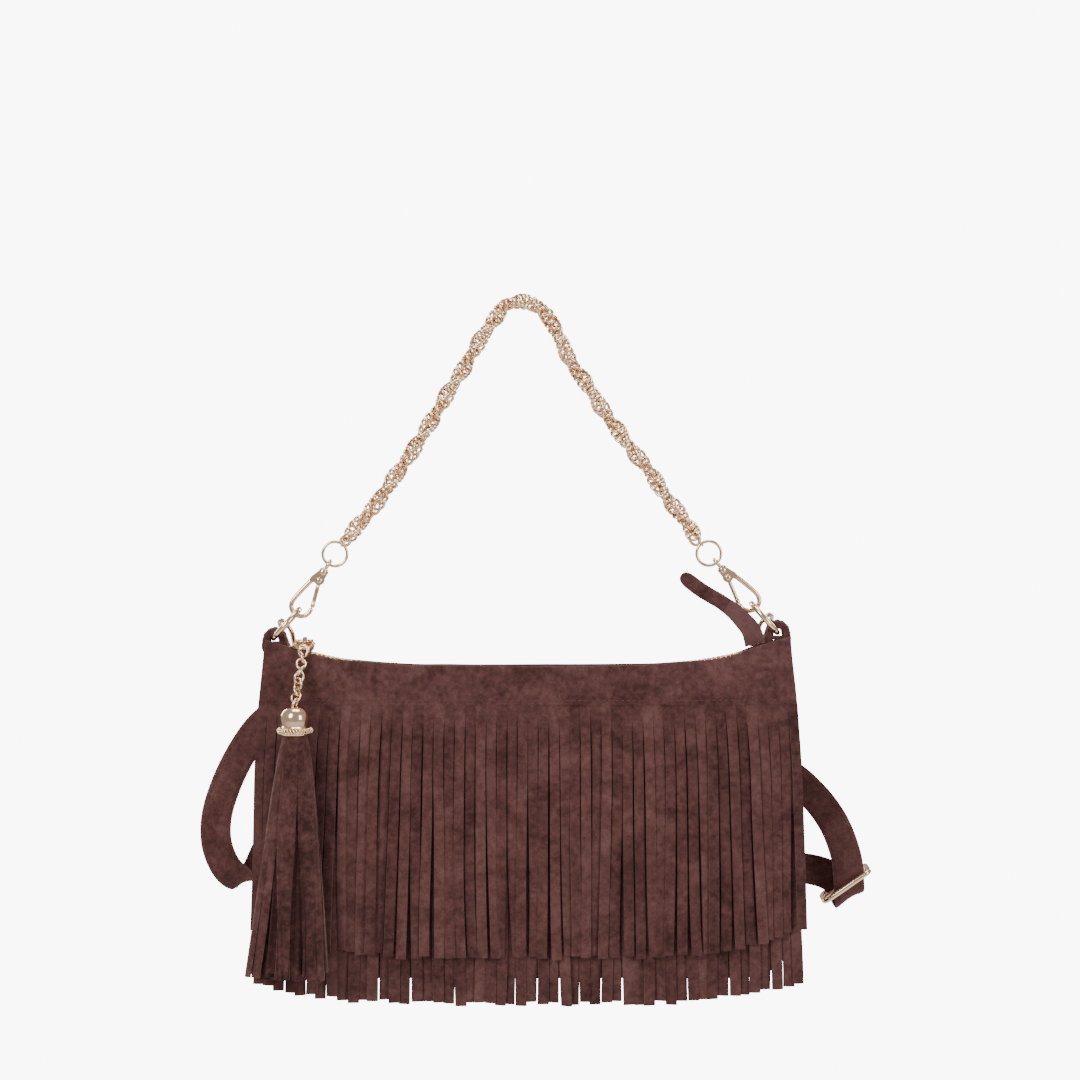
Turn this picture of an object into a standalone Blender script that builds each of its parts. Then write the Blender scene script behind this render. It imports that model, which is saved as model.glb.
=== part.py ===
"""Fringed suede shoulder bag with a rope-chain handle, a zip with a tassel puller and a clip-on strap.

The bag hangs by its chain handle, as when it is carried. The origin is the point that the handle
hangs from. +X is to the right of the fringed front, +Y to the back, +Z up.
All dimensions below are in millimetres; the meshes are written in metres.
"""

import math

import bmesh
import bpy
from mathutils import Matrix, Vector

MM = 0.001
GAP = 0.3                     # air between pieces that touch

# Bag body: outer size of the fringed front, from the zip edge down
BAG_HALF_WIDTH_TOP = 134.7
BAG_HALF_WIDTH = 140.0
EDGE_LOW_Z = -185.2           # the top edge dips to here in the middle
EDGE_RISE = 8.2               # and rises by this much near the ends
EDGE_RISE_X = 125.0
BAND_SEAM_Z = -205.0
WIDTH_FULL_Z = -250.0
BODY_BOTTOM_Z = -345.0
BOTTOM_CORNER_R = 26.0
DEPTH_PROFILE = ((-170.0, 10.0), (-205.0, 15.0), (-240.0, 21.0), (-290.0, 26.0), (-345.0, 24.0))
EDGE_DEPTH_PROFILE = ((-170.0, 9.2), (-205.0, 12.5), (-290.0, 16.0), (-345.0, 24.0))
SUEDE = 2.2                   # the bands, tabs and fringe strips
PANEL_BACKED = 1.6
PANEL_INSET = 3.0             # the panels and the gusset stand in from the fringe's sides
LINING = 0.8
GUSSET_TOP_Z = -189.0
LINING_TOP_Z = -190.0
LINING_STEP = 15.2            # between the levels of the pouch
LINING_CORNER_R = 30.0
FRINGE_STANDOFF = 6.0         # from the outer fringe's face to the panel's

UPPER_FRINGE_LOW_Z = -332.8
UPPER_FRINGE_RISE = 14.0
LOWER_FRINGE_TOP_Z = -262.0
LOWER_FRINGE_LOW_Z = -357.5
LOWER_FRINGE_RISE = 12.0
TIER_GAP = 0.9                # between the two tiers

# Zip
ZIP_Z = -177.6
ZIP_LEFT_X = -121.0
ZIP_RIGHT_X = 119.0
TEETH_WIDTH = 5.4
TEETH_THICK = 1.8
TAPE_THICK = 0.7
SLIDER_X = -115.0
SLIDER_SIZE = (9.0, 8.4, 3.6)
ZIP_TAIL_ROUTE = ((116.6, -4.2, -174.8, 12), (114.6, -4.8, -168.0, 26), (110.0, -5.2, -162.2, 46),
                  (104.6, -5.4, -157.0, 54), (98.0, -5.4, -152.4, 60))
ZIP_TAIL_WIDTH = 10.5
END_TAB_ROUTE = ((97.2, -5.4, -151.9, 60), (90.5, -5.4, -148.0, 60), (84.8, -5.6, -144.0, 56),
                 (78.6, -5.8, -139.0, 54))
END_TAB_WIDTH = 7.6
END_TAB_THICK = 3.4

# Large rings in the side tabs, and the hooks that clip to them
RING_WIRE_R = 1.4
RING_MEAN_R = 9.9
RING_LEFT_LOW = Vector((-130.9, 0.0, -172.1))
RING_LEFT_LEAN = math.radians(41.7)
RING_RIGHT_LOW = Vector((128.3, 0.0, -169.1))
RING_RIGHT_LEAN = math.radians(-41.7)
TAB_HALF_WIDTH = 5.2
TAB_LOOP_R = 6.2
TAB_LEFT_CENTRE = (-129.6, -173.2)
TAB_RIGHT_CENTRE = (128.5, -169.0)
TAB_FOOT_Z = -187.0

HOOK_LEAN_LEFT = math.radians(32.9)
HOOK_LEAN_RIGHT = math.radians(-40.5)
HOOK_WIRE_R = 1.1
HOOK_BOW_R = 5.2
HOOK_BOW_Z = -22.8
HOOK_REST_GAP = 0.7
HOOK_REST_Z = HOOK_BOW_Z - HOOK_BOW_R + HOOK_WIRE_R + RING_WIRE_R + HOOK_REST_GAP
HOOK_PLATE_THICK = 3.2
HOOK_SLOT = 1.5
RIVET = (0.6, -6.4)
RIVET_R = 0.8
O_RING_MEAN_R = 6.25
O_RING_WIRE_R = 0.75
O_RING_RISE = 9.3             # from the swivel to the O-ring's centre

# Chain handle: its centreline, chosen by hand from one O-ring to the other
CHAIN_ROUTE = ((-92.6, 0, -120.6), (-87.6, 0, -114.6), (-80.2, 0, -105.4), (-72.5, 0, -95.6),
               (-63.2, 0, -81.2), (-54.5, 0, -68.9), (-46.3, 0, -54.5), (-36.0, 0, -38.5),
               (-27.8, 0, -24.7), (-19.0, 0, -10.8), (-10.5, 0, -1.2), (0.0, 0, 0.0),
               (8.2, 0, -4.4), (14.0, 0, -13.9), (22.6, 0, -30.8), (32.4, 0, -45.2),
               (41.6, 0, -59.1), (51.9, 0, -73.0), (62.2, 0, -86.4), (72.0, 0, -100.2),
               (79.6, 0, -110.6), (86.0, 0, -119.2))
CHAIN_R = 3.4

# Tassel on the zip puller
PULLER_PIVOT = Vector((-114.5, -3.6, -173.4))
PULLER_WIRE_R = 0.8
TASSEL_PIVOT = Vector((-114.5, -13.4, -176.2))
TASSEL_X = -117.5
TASSEL_CAP_Y = -27.0
TASSEL_CAP_TOP_Z = -203.2
TASSEL_CHAIN_R = 2.3
TASSEL_CAP_PROFILE = ((0.0, 0.0), (3.2, 0.3), (5.8, 1.6), (7.5, 3.7), (8.0, 5.6), (7.4, 7.9),
                      (6.7, 9.8), (6.9, 10.9), (8.5, 11.8), (8.5, 14.6), (0.0, 14.6))
SKIRT_LENGTH = 123.0
SKIRT_FORWARD = 12.0          # the skirt leans out over the fuller part of the bag

# Strap: centreline as (x, y, z, lie of its width in degrees from +X towards +Z)
STRAP_WIDTH = 16.0
STRAP_THICK = 2.2
STRAP_ROUTE = (
    (-120.4, 32.0, -196.4, 12), (-121.4, 34.8, -201.6, 0), (-125.5, 36.3, -207.5, -30),
    (-133.5, 35.5, -214.5, -46), (-144.0, 33.0, -224.5, -42), (-153.0, 30.0, -238.5, -33),
    (-160.0, 26.5, -254.0, -22), (-164.0, 23.5, -269.0, -8), (-163.5, 20.8, -283.0, 12),
    (-158.0, 20.0, -295.5, 28), (-150.0, 24.0, -302.0, 18), (-144.5, 31.5, -299.5, -6),
    (-139.0, 37.0, -288.0, -24), (-131.0, 40.0, -272.0, -36), (-116.0, 41.0, -256.5, -55),
    (-92.0, 41.0, -246.0, -74), (-55.0, 41.0, -239.5, -84), (0.0, 41.0, -236.0, -90),
    (60.0, 41.0, -235.0, -92), (105.0, 38.5, -237.5, -100), (134.0, 33.0, -245.5, -112),
    (149.5, 28.0, -257.0, -133), (160.5, 23.5, -271.5, -148), (166.5, 18.5, -287.5, -160),
    (168.0, 17.2, -299.5, -152), (168.4, 18.2, -308.0, -146), (167.4, 22.6, -311.0, -144),
    (165.0, 26.4, -305.5, -140), (158.0, 28.8, -300.0, -124), (145.0, 32.5, -297.3, -104),
    (122.0, 38.0, -297.0, -92), (85.0, 41.0, -300.0, -87), (35.0, 41.0, -304.5, -87),
    (-20.0, 41.0, -307.0, -89), (-75.0, 42.0, -306.0, -96), (-102.0, 45.0, -299.0, -126),
    (-111.0, 48.5, -287.0, -180), (-102.0, 51.5, -275.5, -232), (-75.0, 52.0, -269.5, -262),
    (-20.0, 51.5, -268.0, -269), (45.0, 50.0, -262.0, -276), (88.0, 48.0, -247.0, -294),
    (109.5, 44.0, -228.0, -318), (118.0, 39.0, -209.0, -352), (118.6, 35.2, -199.6, -370),
    (117.8, 32.0, -193.4, -372))
BUCKLE_CENTRE = Vector((166.8, 22.0, -303.6))
BUCKLE_LIE = 35.0
BUCKLE_LENGTH = 28.0
BUCKLE_DEPTH = 18.0
BUCKLE_WIRE_R = 1.4
STRAP_HOOK_SWEEP = 75.0       # degrees round the large ring, from the tab towards the back
STRAP_HOOK_HANG = (0.15, 0.6, -0.78)    # from the ring to a strap hook's swivel, on the left side

SUEDE_BROWN = (0.127, 0.048, 0.037)
LINING_BROWN = (0.060, 0.035, 0.028)
GOLD = (0.86, 0.60, 0.40)
TAPE_BROWN = (0.060, 0.028, 0.022)


def clear_scene():
    for item in list(bpy.data.objects):
        bpy.data.objects.remove(item, do_unlink=True)


def material(name, colour, roughness, metallic=0.0):
    found = bpy.data.materials.new(name)
    found.use_nodes = True
    shader = found.node_tree.nodes["Principled BSDF"]
    shader.inputs["Base Color"].default_value = (*colour, 1.0)
    shader.inputs["Roughness"].default_value = roughness
    shader.inputs["Metallic"].default_value = metallic
    return found


def finish_mesh(name, bm, mat, smooth=True):
    """Makes an object from a bmesh in millimetres."""
    bmesh.ops.remove_doubles(bm, verts=bm.verts, dist=1e-5)
    bmesh.ops.recalc_face_normals(bm, faces=bm.faces)
    bmesh.ops.scale(bm, vec=(MM, MM, MM), verts=bm.verts)
    mesh = bpy.data.meshes.new(name)
    bm.to_mesh(mesh)
    bm.free()
    mesh.materials.append(mat)
    if smooth:
        mesh.shade_smooth()
        mesh.set_sharp_from_angle(angle=math.radians(40))
    return add_object(name, mesh)


def add_object(name, mesh):
    made = bpy.data.objects.new(name, mesh)
    bpy.context.scene.collection.objects.link(made)
    return made


def pivot(name, centre):
    """An empty on a joint's axis, at a point in millimetres."""
    empty = bpy.data.objects.new(name, None)
    empty.location = Vector(centre) * MM
    bpy.context.scene.collection.objects.link(empty)
    return empty


def hang_from(child, empty):
    """Parents an object to an empty and leaves it where it is."""
    child.parent = empty
    child.matrix_parent_inverse = Matrix.Translation(-empty.location)


def interpolate(profile, z):
    """Smooth value of a (z, value) profile that runs from high z to low z."""
    if z >= profile[0][0]:
        return profile[0][1]
    for (z1, v1), (z2, v2) in zip(profile, profile[1:]):
        if z >= z2:
            t = (z1 - z) / (z1 - z2)
            return v1 + (v2 - v1) * (3 * t * t - 2 * t ** 3) * 0.35 + (v2 - v1) * t * 0.65
    return profile[-1][1]


def catmull(route, k, t):
    """A point on the Catmull-Rom curve through the route, at share t of span k."""
    last = len(route) - 1
    p0, p1, p2, p3 = (Vector(route[min(max(i, 0), last)][:3]) for i in range(k - 1, k + 3))
    return 0.5 * (2 * p1 + (p2 - p0) * t + (2 * p0 - 5 * p1 + 4 * p2 - p3) * t * t
                  + (3 * p1 - p0 - 3 * p2 + p3) * t ** 3)


def smooth_route(route, count):
    """Evenly spread points on the smooth curve through a route."""
    dense = [catmull(route, k, step / 12) for k in range(len(route) - 1) for step in range(12)]
    dense.append(Vector(route[-1][:3]))
    run = [0.0]
    for a, b in zip(dense, dense[1:]):
        run.append(run[-1] + (b - a).length)
    even, k = [], 0
    for i in range(count):
        target = run[-1] * i / (count - 1)
        while k < len(run) - 2 and run[k + 1] < target:
            k += 1
        even.append(dense[k].lerp(dense[k + 1], (target - run[k]) / (run[k + 1] - run[k])))
    return even


def skin_rings(name, rings, mat, closed=False):
    """A closed solid through rings of points, capped at both ends unless it closes on itself."""
    bm = bmesh.new()
    loops = [[bm.verts.new(p) for p in ring] for ring in rings]
    pairs = list(zip(loops, loops[1:]))
    if closed:
        pairs.append((loops[-1], loops[0]))
    for a, b in pairs:
        for i in range(len(a)):
            j = (i + 1) % len(a)
            bm.faces.new((a[i], a[j], b[j], b[i]))
    if not closed:
        bm.faces.new(loops[0])
        bm.faces.new(loops[-1])
    return finish_mesh(name, bm, mat)


def tube(name, points, radius, mat, sides=10, closed=False):
    """A round tube along a list of points."""
    pts = [Vector(p) for p in points]
    count = len(pts)
    side = None
    rings = []
    for i, p in enumerate(pts):
        after = pts[(i + 1) % count] if closed or i < count - 1 else p
        before = pts[i - 1] if closed or i > 0 else p
        along = (after - before).normalized()
        if side is None:
            side = along.orthogonal().normalized()
        side = (side - along * side.dot(along)).normalized()
        up = along.cross(side)
        turns = [2 * math.pi * k / sides for k in range(sides)]
        rings.append([p + side * math.cos(a) * radius + up * math.sin(a) * radius for a in turns])
    return skin_rings(name, rings, mat, closed)


def torus(name, centre, axis_u, axis_v, mean_r, wire_r, mat, steps=20, sides=8):
    """A ring in the plane of two unit vectors."""
    normal = Vector(axis_u).cross(Vector(axis_v)).normalized()
    rings = []
    for k in range(steps):
        turn = 2 * math.pi * k / steps
        out = Vector(axis_u) * math.cos(turn) + Vector(axis_v) * math.sin(turn)
        base = Vector(centre) + out * mean_r
        rings.append([base + (out * math.cos(a) + normal * math.sin(a)) * wire_r
                      for a in (2 * math.pi * s / sides for s in range(sides))])
    return skin_rings(name, rings, mat, closed=True)


def ribbon(name, route, width, thick, mat, steps):
    """A flat strip along (x, y, z, lie) points; lie is its width's angle from +X towards +Z."""
    points, lies = [], []
    for k in range(len(route) - 1):
        for step in range(steps):
            t = step / steps
            points.append(catmull(route, k, t))
            lies.append(math.radians(route[k][3] + (route[k + 1][3] - route[k][3]) * t))
    points.append(Vector(route[-1][:3]))
    lies.append(math.radians(route[-1][3]))
    rings = []
    for i, p in enumerate(points):
        along = (points[min(i + 1, len(points) - 1)] - points[max(i - 1, 0)]).normalized()
        across = Vector((math.cos(lies[i]), 0, math.sin(lies[i])))
        across = (across - along * across.dot(along)).normalized()
        wide = across * width / 2
        deep = across.cross(along) * thick / 2
        rings.append([p - wide - deep, p + wide - deep, p + wide + deep, p - wide + deep])
    return skin_rings(name, rings, mat)


def extrude_outline(name, outline, low_y, high_y, mat):
    """An outline of (x, z) points made solid along Y."""
    bm = bmesh.new()
    face = bm.faces.new([bm.verts.new((x, low_y, z)) for x, z in outline])
    out = bmesh.ops.extrude_face_region(bm, geom=[face])
    moved = [v for v in out["geom"] if isinstance(v, bmesh.types.BMVert)]
    bmesh.ops.translate(bm, verts=moved, vec=(0, high_y - low_y, 0))
    return finish_mesh(name, bm, mat)


def turned(name, profile, centre, mat, steps):
    """A turned solid: (radius, depth below the centre) points spun about Z."""
    bm = bmesh.new()
    rings = []
    for r, down in profile:
        if r < 1e-6:
            rings.append([bm.verts.new((centre[0], centre[1], centre[2] - down))])
            continue
        turns = [2 * math.pi * k / steps for k in range(steps)]
        rings.append([bm.verts.new((centre[0] + r * math.cos(a), centre[1] + r * math.sin(a),
                                    centre[2] - down)) for a in turns])
    for a, b in zip(rings, rings[1:]):
        for k in range(steps):
            j = (k + 1) % steps
            if len(a) == 1:
                bm.faces.new((a[0], b[j], b[k]))
            elif len(b) == 1:
                bm.faces.new((a[k], a[j], b[0]))
            else:
                bm.faces.new((a[k], a[j], b[j], b[k]))
    return finish_mesh(name, bm, mat)


def combine(target, tool, operation):
    """Unites or cuts with a hidden helper object."""
    tool.hide_render = True
    tool.display_type = "WIRE"
    modifier = target.modifiers.new(operation.lower(), "BOOLEAN")
    modifier.operation = operation
    modifier.solver = "EXACT"
    modifier.object = tool


def arc(centre, radius, start, end, steps):
    """(x, z) points on an arc, angles in degrees from +X towards +Z."""
    turns = [math.radians(start + (end - start) * k / steps) for k in range(steps + 1)]
    return [(centre[0] + radius * math.cos(a), centre[1] + radius * math.sin(a)) for a in turns]


# ---- the bag's shape -------------------------------------------------------------------------

def edge_z(x):
    """Height of the bag's top edge."""
    return EDGE_LOW_Z + EDGE_RISE * abs(x / EDGE_RISE_X) ** 3.5


def half_width(z):
    """Half the width of the fringed front at a height."""
    t = min(max((edge_z(EDGE_RISE_X) - z) / (edge_z(EDGE_RISE_X) - WIDTH_FULL_Z), 0.0), 1.0)
    return BAG_HALF_WIDTH_TOP + (BAG_HALF_WIDTH - BAG_HALF_WIDTH_TOP) * math.sin(t * math.pi / 2)


def front_depth(u, z):
    """How far the outer face stands in front of the bag's middle plane; u is -1 to 1 across."""
    edge = interpolate(EDGE_DEPTH_PROFILE, z)
    middle = interpolate(DEPTH_PROFILE, z)
    return edge + (middle - edge) * (1 - abs(u) ** 4)


def slab(name, top_z, low_z, inset, sink, thick, mat, side, columns=16, rows=7, corner=0.0):
    """A panel of the front (side -1) or back (side 1), between two edges given as heights at x.

    inset narrows it, sink moves its face inwards, and corner rounds its bottom corners."""
    outer, inner = [], []
    for j in range(rows + 1):
        row_out, row_in = [], []
        for i in range(columns + 1):
            u = -1 + 2 * i / columns
            u = math.sin(u * math.pi / 2) * 0.35 + u * 0.65
            rough_x = u * (BAG_HALF_WIDTH - inset)
            z = top_z(rough_x) + (low_z(rough_x) - top_z(rough_x)) * j / rows
            half = half_width(z) - inset
            above = z - (low_z(0) + corner)
            if corner and above < 0:
                half -= corner - math.sqrt(max(corner ** 2 - above ** 2, 0.0))
            x = u * half
            y = front_depth(u, z) - sink
            row_out.append(Vector((x, side * y, z)))
            row_in.append(Vector((x, side * (y - thick), z)))
        outer.append(row_out)
        inner.append(row_in)
    bm = bmesh.new()
    out = [[bm.verts.new(p) for p in row] for row in outer]
    ins = [[bm.verts.new(p) for p in row] for row in inner]
    for grid in (out, ins):
        for j in range(rows):
            for i in range(columns):
                bm.faces.new((grid[j][i], grid[j][i + 1], grid[j + 1][i + 1], grid[j + 1][i]))
    for j in range(rows):
        for i in (0, columns):
            bm.faces.new((out[j][i], out[j + 1][i], ins[j + 1][i], ins[j][i]))
    for i in range(columns):
        for j in (0, rows):
            bm.faces.new((out[j][i], out[j][i + 1], ins[j][i + 1], ins[j][i]))
    return finish_mesh(name, bm, mat)


def panels_and_bands(suede):
    for word, side in (("front", -1), ("back", 1)):
        slab(f"{word}_panel", lambda x: BAND_SEAM_Z - GAP, lambda x: BODY_BOTTOM_Z, PANEL_INSET,
             FRINGE_STANDOFF, PANEL_BACKED, suede, side, corner=BOTTOM_CORNER_R)
        slab(f"{word}_band", edge_z, lambda x: BAND_SEAM_Z, 0.0, 0.0, SUEDE, suede,
             side, rows=3)


def gusset(suede):
    """The strip that joins front and back: down one side, along the bottom and up the other."""
    straight = GUSSET_TOP_Z - BODY_BOTTOM_Z - BOTTOM_CORNER_R
    heights = [GUSSET_TOP_Z - straight * k / 10 for k in range(11)]
    path = [(half_width(z) - PANEL_INSET, z) for z in heights]
    x_corner = path[-1][0] - BOTTOM_CORNER_R
    path += arc((x_corner, BODY_BOTTOM_Z + BOTTOM_CORNER_R), BOTTOM_CORNER_R, -8, -90, 8)
    right_half = path + [(x_corner * k / 4, BODY_BOTTOM_Z) for k in (3, 2, 1, 0)]
    outline = right_half + [(-x, z) for x, z in reversed(right_half[:-1])]
    rings = []
    for i, (x, z) in enumerate(outline):
        before, after = outline[max(i - 1, 0)], outline[min(i + 1, len(outline) - 1)]
        inward = Vector((after[1] - before[1], 0, before[0] - after[0])).normalized()
        wide = interpolate(EDGE_DEPTH_PROFILE, z) - FRINGE_STANDOFF - PANEL_BACKED - GAP
        p = Vector((x, 0, z))
        q = p + inward * PANEL_BACKED
        y = Vector((0, wide, 0))
        rings.append([p - y, p + y, q + y, q - y])
    skin_rings("gusset", rings, suede)


def lining(cloth):
    """The inner pouch, open at the zip."""
    levels = [LINING_TOP_Z - k * LINING_STEP for k in range(11)]

    def ring(z, shrink):
        half_x = half_width(z) - 6.5 - shrink
        above = BODY_BOTTOM_Z + LINING_CORNER_R - z
        if above > 0:
            half_x -= LINING_CORNER_R - math.sqrt(max(LINING_CORNER_R ** 2 - above ** 2, 0.0))
        front, back = [], []
        for k in range(9):
            x = half_x * (2 * k / 8 - 1)
            y = front_depth(x / half_width(z), z) - FRINGE_STANDOFF - PANEL_BACKED - 0.9 - shrink
            front.append(Vector((x, -y, z)))
            back.append(Vector((-x, y, z)))
        return front + back
    outside = [ring(z, 0.0) for z in reversed(levels)]
    inside = [ring(z, LINING) for z in levels[:-1]]
    floor = [Vector((p.x, p.y, levels[-1] + LINING)) for p in ring(levels[-1], LINING)]
    skin_rings("lining", outside + inside + [floor], cloth)


def fringes(suede):
    """The two tiers of cut fringe on the front, each as one solid."""
    slab("fringe_upper", lambda x: BAND_SEAM_Z - GAP,
         lambda x: UPPER_FRINGE_LOW_Z + UPPER_FRINGE_RISE * abs(x / BAG_HALF_WIDTH) ** 4,
         0.0, 0.0, SUEDE, suede, -1)
    slab("fringe_lower", lambda x: LOWER_FRINGE_TOP_Z,
         lambda x: LOWER_FRINGE_LOW_Z + LOWER_FRINGE_RISE * abs(x / BAG_HALF_WIDTH) ** 5,
         1.0, SUEDE + TIER_GAP, 2.0, suede, -1, rows=4)


def side_tabs(suede):
    """Strips folded over the large rings and sewn into the bag's ends."""
    inner_r = TAB_LOOP_R - SUEDE + 0.3
    for name, (x, z) in (("tab_left", TAB_LEFT_CENTRE), ("tab_right", TAB_RIGHT_CENTRE)):
        outline = arc((x, z), TAB_LOOP_R, 0, 180, 14)
        outline += [(x - TAB_LOOP_R, z - 3.0), (x - 2.4, z - 8.0), (x - 2.4, TAB_FOOT_Z)]
        outline += [(x + 2.4, TAB_FOOT_Z), (x + 2.4, z - 8.0), (x + TAB_LOOP_R, z - 3.0)]
        tab = extrude_outline(name, outline, -TAB_HALF_WIDTH, TAB_HALF_WIDTH, suede)
        hole = arc((x, z), inner_r, 0, 180, 12) + arc((x, z - 1.5), inner_r, 180, 360, 12)
        cutter = extrude_outline(f"{name}_fold_cutter", hole, -TAB_HALF_WIDTH - 5,
                                 TAB_HALF_WIDTH + 5, suede)
        combine(tab, cutter, "DIFFERENCE")


# ---- the zip ---------------------------------------------------------------------------------

def zip_parts(tape_mat, gold, suede):
    length = ZIP_RIGHT_X - ZIP_LEFT_X
    top = ZIP_Z + TEETH_THICK / 2
    box("zip_teeth", (ZIP_LEFT_X, -TEETH_WIDTH / 2, ZIP_Z - TEETH_THICK / 2),
        (ZIP_RIGHT_X, TEETH_WIDTH / 2, top), gold)
    under = ZIP_Z - TEETH_THICK / 2 - GAP
    for word, side in (("front", -1), ("back", 1)):
        rings = []
        for k in range(13):
            x = ZIP_LEFT_X + length * k / 12
            reach = interpolate(DEPTH_PROFILE, edge_z(x)) - SUEDE - 1.4
            drop = max(under - edge_z(x), 0.0) + 0.5
            section = ((0.2, under), (TEETH_WIDTH / 2 + 1, under), (reach, under - drop),
                       (reach, under - drop - TAPE_THICK), (TEETH_WIDTH / 2 + 1, under - TAPE_THICK),
                       (0.2, under - TAPE_THICK))
            rings.append([Vector((x, side * y, z)) for y, z in section])
        skin_rings(f"zip_tape_{word}", rings, tape_mat)
    box("zip_stop_left", (ZIP_LEFT_X - 2.3, -2.6, ZIP_Z - 1.2), (ZIP_LEFT_X - GAP, 2.6, top + 0.4), gold)
    box("zip_stop_right", (ZIP_RIGHT_X + GAP, -2.6, ZIP_Z - 1.2), (ZIP_RIGHT_X + 2.3, 2.6, top + 0.4),
        gold)
    ribbon("zip_tail", ZIP_TAIL_ROUTE, ZIP_TAIL_WIDTH, 1.2, tape_mat, 3)
    ribbon("zip_end_tab", END_TAB_ROUTE, END_TAB_WIDTH, END_TAB_THICK, suede, 3)


def box(name, low, high, mat):
    bm = bmesh.new()
    bmesh.ops.create_cube(bm, size=1.0)
    for v in bm.verts:
        v.co = Vector([low[i] if v.co[i] < 0 else high[i] for i in range(3)])
    return finish_mesh(name, bm, mat)


def slider(gold):
    """Runs over the closed teeth: a plate with a turned-down flange on each side and a bridge."""
    length, width, height = SLIDER_SIZE
    top = ZIP_Z + TEETH_THICK / 2 + GAP
    inner = TEETH_WIDTH / 2 + 0.4
    low = ZIP_Z - TEETH_THICK / 2 + 0.1
    section = ((-width / 2, low), (-inner, low), (-inner, top), (inner, top), (inner, low),
               (width / 2, low), (width / 2, top + 0.8), (1.1, top + 1.3), (1.1, top + height),
               (-1.1, top + height), (-1.1, top + 1.3), (-width / 2, top + 0.8))
    rings = [[Vector((SLIDER_X + dx, y, z)) for y, z in section] for dx in (-length / 2, length / 2)]
    body = skin_rings("zip_slider", rings, gold)
    x, y, z = PULLER_PIVOT
    lug = extrude_outline("slider_lug_tool", [(x - 1, top), (x + 1, top), (x + 1, z + 2), (x - 1, z + 2)],
                          y - 2, -0.5, gold)
    combine(body, lug, "UNION")
    eye = tube("slider_eye_cutter", [(x - 4, y, z), (x + 4, y, z)], PULLER_WIRE_R + 0.35, gold, 12)
    combine(body, eye, "DIFFERENCE")


def tassel(gold, suede):
    lift = pivot("puller_pivot", PULLER_PIVOT)
    centre = (PULLER_PIVOT + TASSEL_PIVOT) / 2
    along = (TASSEL_PIVOT - PULLER_PIVOT).normalized()
    radius = (TASSEL_PIVOT - PULLER_PIVOT).length / 2
    ring = torus("puller_ring", centre, along, Vector((1, 0, 0)), radius, PULLER_WIRE_R, gold)
    hang_from(ring, lift)
    swing = pivot("tassel_pivot", TASSEL_PIVOT)
    start = TASSEL_PIVOT + Vector((0, -1.0, -2.6))
    end = Vector((TASSEL_X, TASSEL_CAP_Y, TASSEL_CAP_TOP_Z + GAP))
    chain = tube("tassel_chain", [start.lerp(end, k / 6) for k in range(7)], TASSEL_CHAIN_R, gold, 8)
    cap = turned("tassel_cap", TASSEL_CAP_PROFILE, (TASSEL_X, TASSEL_CAP_Y, TASSEL_CAP_TOP_Z - 0.6),
                 gold, steps=18)
    top = TASSEL_CAP_TOP_Z - 0.6 - TASSEL_CAP_PROFILE[-1][1] - GAP
    rings = []
    for k in range(11):
        share = k / 10
        z = top - SKIRT_LENGTH * share
        half_x = 6.4 + 13.4 * share ** 0.75
        half_y = 6.2 + 1.2 * share
        y = TASSEL_CAP_Y - share * SKIRT_FORWARD
        x = TASSEL_X - 2.0 * share
        rings.append([Vector((x + half_x * math.cos(a), y + half_y * math.sin(a), z))
                      for a in (2 * math.pi * s / 20 for s in range(20))])
    skirt = skin_rings("tassel_skirt", rings, suede)
    for piece in (chain, cap, skirt):
        hang_from(piece, swing)


# ---- rings, hooks, handle ----------------------------------------------------------------------

def leaning(angle):
    """Unit vector that leans from +Z towards +X by an angle."""
    return Vector((math.sin(angle), 0, math.cos(angle)))


def large_rings(gold):
    for name, low, lean in (("ring_left", RING_LEFT_LOW, RING_LEFT_LEAN),
                            ("ring_right", RING_RIGHT_LOW, RING_RIGHT_LEAN)):
        up = leaning(lean)
        ring = torus(name, low + up * RING_MEAN_R, up, Vector((0, 1, 0)), RING_MEAN_R, RING_WIRE_R, gold)
        hang_from(ring, pivot(f"{name}_pivot", low))


def ring_top(low, lean):
    return low + leaning(lean) * 2 * RING_MEAN_R


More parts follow.
